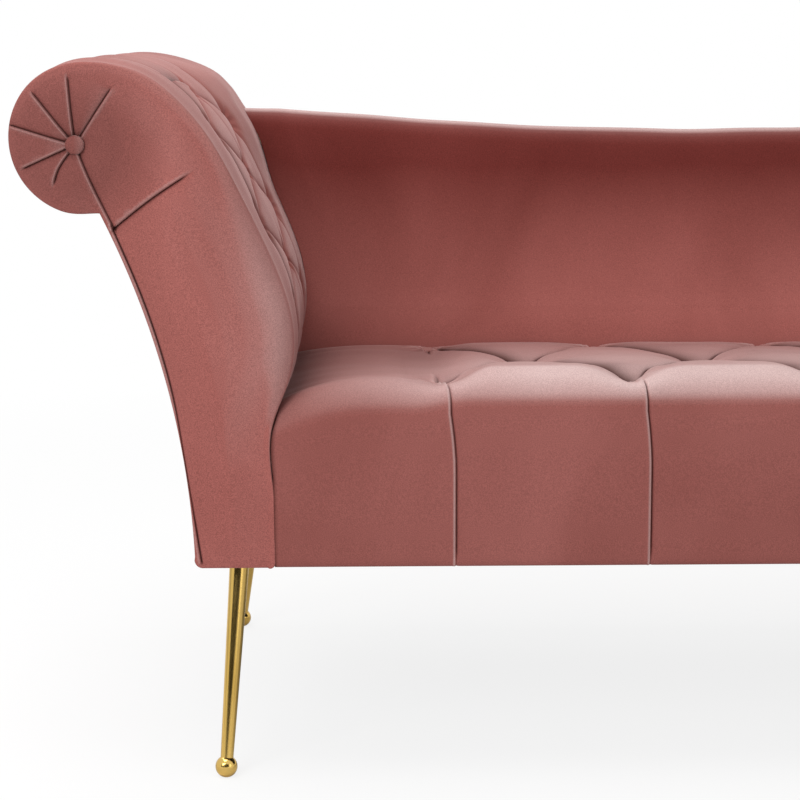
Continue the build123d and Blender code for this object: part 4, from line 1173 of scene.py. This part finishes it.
def end_facing():
    """Padded facing that closes the back at the foot end."""
    stretches = [(2, 22), (3, 20), (4, 22)]
    over = [np.stack(back_section(END_X, part, np.linspace(0, 1, n)), 1) for part, n in stretches]
    over = np.vstack([over[0], over[1][1:], over[2][1:]])
    low_front = SEAT_REAR_Y + 1
    front = [(BACK_REAR_Y, UNDERSIDE), (low_front, UNDERSIDE), (low_front, BACK_BEND_Z), tuple(over[0])]
    rear = [tuple(over[-1]), (BACK_REAR_Y, UNDERSIDE)]
    outline = np.vstack([even(np.array(front), 3)[:-1], over, even(np.array(rear), 3)[1:-1]])
    flat, faces, inside, _ = panel_mesh(outline, 4, RINGS[:9])
    x = END_X - 1.2 * rolled(inside, END_ROUND) + 1.5 * ease((inside - END_ROUND) / 40)
    points = np.column_stack([x, flat[:, 0], flat[:, 1]])
    obj = piece("back_end_velvet", points, faces, rose, ["back_end_facing"])


end_facing()


# Covered buttons


def buttons(name, places, node, material):
    """Domed buttons with the cloth gathered over their rims, at places with their outward directions."""
    rings, spokes = 9, 36
    angle = np.linspace(0, 2 * pi, spokes, endpoint=False)
    circle = np.stack([np.cos(angle), np.sin(angle), np.zeros(spokes)], 1)
    points, faces = [], []
    for k, (place, out) in enumerate(places):
        turn = np.array(Vector(out).normalized().to_track_quat("Z", "Y").to_matrix())
        local = [np.array([(0, 0, BUTTON_HEIGHT)])]
        for share in np.arange(1, rings + 1) / rings:
            wave = 1 + 0.02 * share**3 * np.sin(angle * 9 + k)
            ring = circle * (BUTTON_RADIUS * sin(share * pi / 2) * wave)[:, None]
            local.append(ring + (0, 0, BUTTON_HEIGHT * cos(share * pi / 2) ** 0.8))
        local.append(circle * BUTTON_RADIUS * 0.8 - (0, 0, 0.5))
        first = k * (1 + (rings + 1) * spokes)
        points.append(np.concatenate(local) @ turn.T + np.asarray(place))
        for j in range(spokes):
            following = (j + 1) % spokes
            faces.append((first, first + 1 + j, first + 1 + following))
            for a in range(first + 1, first + 1 + rings * spokes, spokes):
                faces.append((a + j, a + spokes + j, a + spokes + following, a + following))
    piece(name, np.concatenate(points), faces, material, [node])


UP = (0, 0, 1)
BUTTON_SINK = 2
places = []
for column, row in SEAT_BUTTONS:
    places.append(((*seat_place(column, row), float(seat_dip(row)) - BUTTON_SINK), UP))
buttons("seat_button_covers", places, "seat_buttons", seat_rose_painted_light)

places = []
for k, y in enumerate(ARM_COLUMNS):
    for r in arm_rows(k):
        at = int(np.argmin(np.abs(ARM_RUN - ROW_RUNS[r])))
        spot, out = ARM_LINE[at] - ARM_BUTTON_SINK * ARM_OUT[at], ARM_OUT[at]
        places.append(((spot[0], y, spot[1]), (out[0], 0, out[1])))
buttons("arm_button_covers", places, "arm_buttons", rose)

for end, way in (("front", -1), ("rear", 1)):
    place = (SCROLL_BUTTON[0], way * (-FRONT_Y - 6), SCROLL_BUTTON[1])
    buttons(f"scroll_{end}_button_cover", [(place, (0, way, 0))], f"scroll_{end}_button", facing_rose_painted_light)


# Dust cover stretched under the frame


def dust_cover():
    """Thin cloth that sags a little between the rails."""
    xs = np.linspace(ARM_OUTER_X + 12, END_X - 12, 240)
    ys = np.linspace(FRONT_Y + 14, BACK_REAR_Y - 8, 100)
    x, y = np.meshgrid(xs, ys)
    length, width = xs[-1] - xs[0], ys[-1] - ys[0]
    middle = np.sin(pi * (x - xs[0]) / length) * np.sin(pi * (y - ys[0]) / width)
    z = UNDERSIDE - 0.8 - (3 + 0.6 * ripple(x, y, 240, 61)) * middle**2
    points = grid_points(x, y, z)
    obj = piece("dust_cloth", points, grid_faces(*x.shape)[:, ::-1], cambric, ["dust_cover"])


dust_cover()


# Floor, world and lights


def stage_piece(name, corners, material):
    """Flat piece that belongs to the stage and not to the part."""
    mesh = bpy.data.meshes.new(name)
    mesh.from_pydata(corners, [], [tuple(range(len(corners)))])
    mesh.materials.append(material)
    obj = bpy.data.objects.new(name, mesh)
    bpy.context.scene.collection.objects.link(obj)
    return obj


# The floor keeps a soft shadow near the part and fades to white
pale_floor = bpy.data.materials.new("pale_floor")
tree = Tree(pale_floor)
middle = tree.add("VectorMath", {0: tree.add("TexCoord").outputs["Object"]}, operation="LENGTH")
fade = tree.rescale(middle.outputs["Value"], 0.9, 2.6, 0.82, 1.0)
shown = tree.combine(tree.add("LightPath").outputs["Is Camera Ray"], fade, "MULTIPLY")
matte = tree.add("BsdfDiffuse", {"Color": (0.9, 0.9, 0.9, 1)})
glow = tree.add("Emission")
both = tree.add("MixShader", {0: shown, 1: matte.outputs[0], 2: glow.outputs[0]})
tree.add("OutputMaterial", {0: both.outputs[0]})
FLOOR = 20
floor = stage_piece(
    "floor", [(-FLOOR, -FLOOR, 0), (FLOOR, -FLOOR, 0), (FLOOR, FLOOR, 0), (-FLOOR, FLOOR, 0)], pale_floor,
)

# The world is white where it is seen and half as strong as a light
world = bpy.data.worlds.new("studio")
bpy.context.scene.world = world
tree = Tree(world)
path = tree.add("LightPath")
seen = path.outputs["Is Camera Ray"]
for ray in ("Is Transmission Ray", "Is Glossy Ray"):
    seen = tree.combine(seen, path.outputs[ray], "MAXIMUM")
soft, shown = (tree.add("Background", {"Color": (1, 1, 1, 1), "Strength": power}) for power in (0.5, 1.0))
both = tree.add("MixShader", {0: seen, 1: soft.outputs[0], 2: shown.outputs[0]})
tree.add("OutputWorld", {0: both.outputs[0]})


def area_light(name, place, target, size, power):
    """Rectangular light that points at a target."""
    data = bpy.data.lights.new(name, "AREA")
    data.shape = "RECTANGLE"
    data.size, data.size_y = size
    data.energy = power
    lamp = bpy.data.objects.new(name, data)
    lamp.location = place
    lamp.rotation_euler = (Vector(target) - Vector(place)).to_track_quat("-Z", "Y").to_euler()
    bpy.context.scene.collection.objects.link(lamp)


area_light("key", (-2.6, -4.2, 2.7), (-0.1, 0, 0.45), (2.6, 2.2), 112)
area_light("top", (-1.0, -0.3, 2.5), (0.1, 0, 0.4), (1.8, 1.2), 34)
area_light("rim", (-1.3, 1.5, 2.3), (-0.3, 0, 0.5), (1.8, 0.8), 10)
area_light("fill", (2.4, -3.6, 1.5), (0, 0, 0.4), (2.0, 2.0), 16)

# Dark card behind the camera, seen only in the polished metal
CARD_Y = -4.2
CARD_OUTLINE = [(-1.7, 0.3), (-1.3, 0.3), (3.2, 0.85), (3.2, 3.0), (-6.5, 3.0), (-6.5, 0.85)]
card = stage_piece("card", [(x, CARD_Y, z) for x, z in CARD_OUTLINE], black_steel)
card.visible_camera = card.visible_diffuse = card.visible_shadow = card.visible_transmission = False

# Camera at the photograph's viewing angle
CAMERA_PLACE = (-0.4895, -2.7238, 0.8042)
yaw, pitch, roll = radians(0.97), radians(9.25), radians(-0.14)
ahead = Vector((sin(yaw) * cos(pitch), cos(yaw) * cos(pitch), -sin(pitch)))
right = Vector((cos(yaw), -sin(yaw), 0))
up = right.cross(ahead)
right, up = right * cos(roll) + up * sin(roll), up * cos(roll) - right * sin(roll)
camera = bpy.data.objects.new("camera", bpy.data.cameras.new("camera"))
camera.data.lens = 103.6
camera.data.sensor_width = 36
camera.matrix_world = Matrix([*zip(right, up, -ahead, CAMERA_PLACE), (0, 0, 0, 1)])
bpy.context.scene.collection.objects.link(camera)
bpy.context.scene.camera = camera
bpy.context.scene.view_settings.view_transform = "Standard"
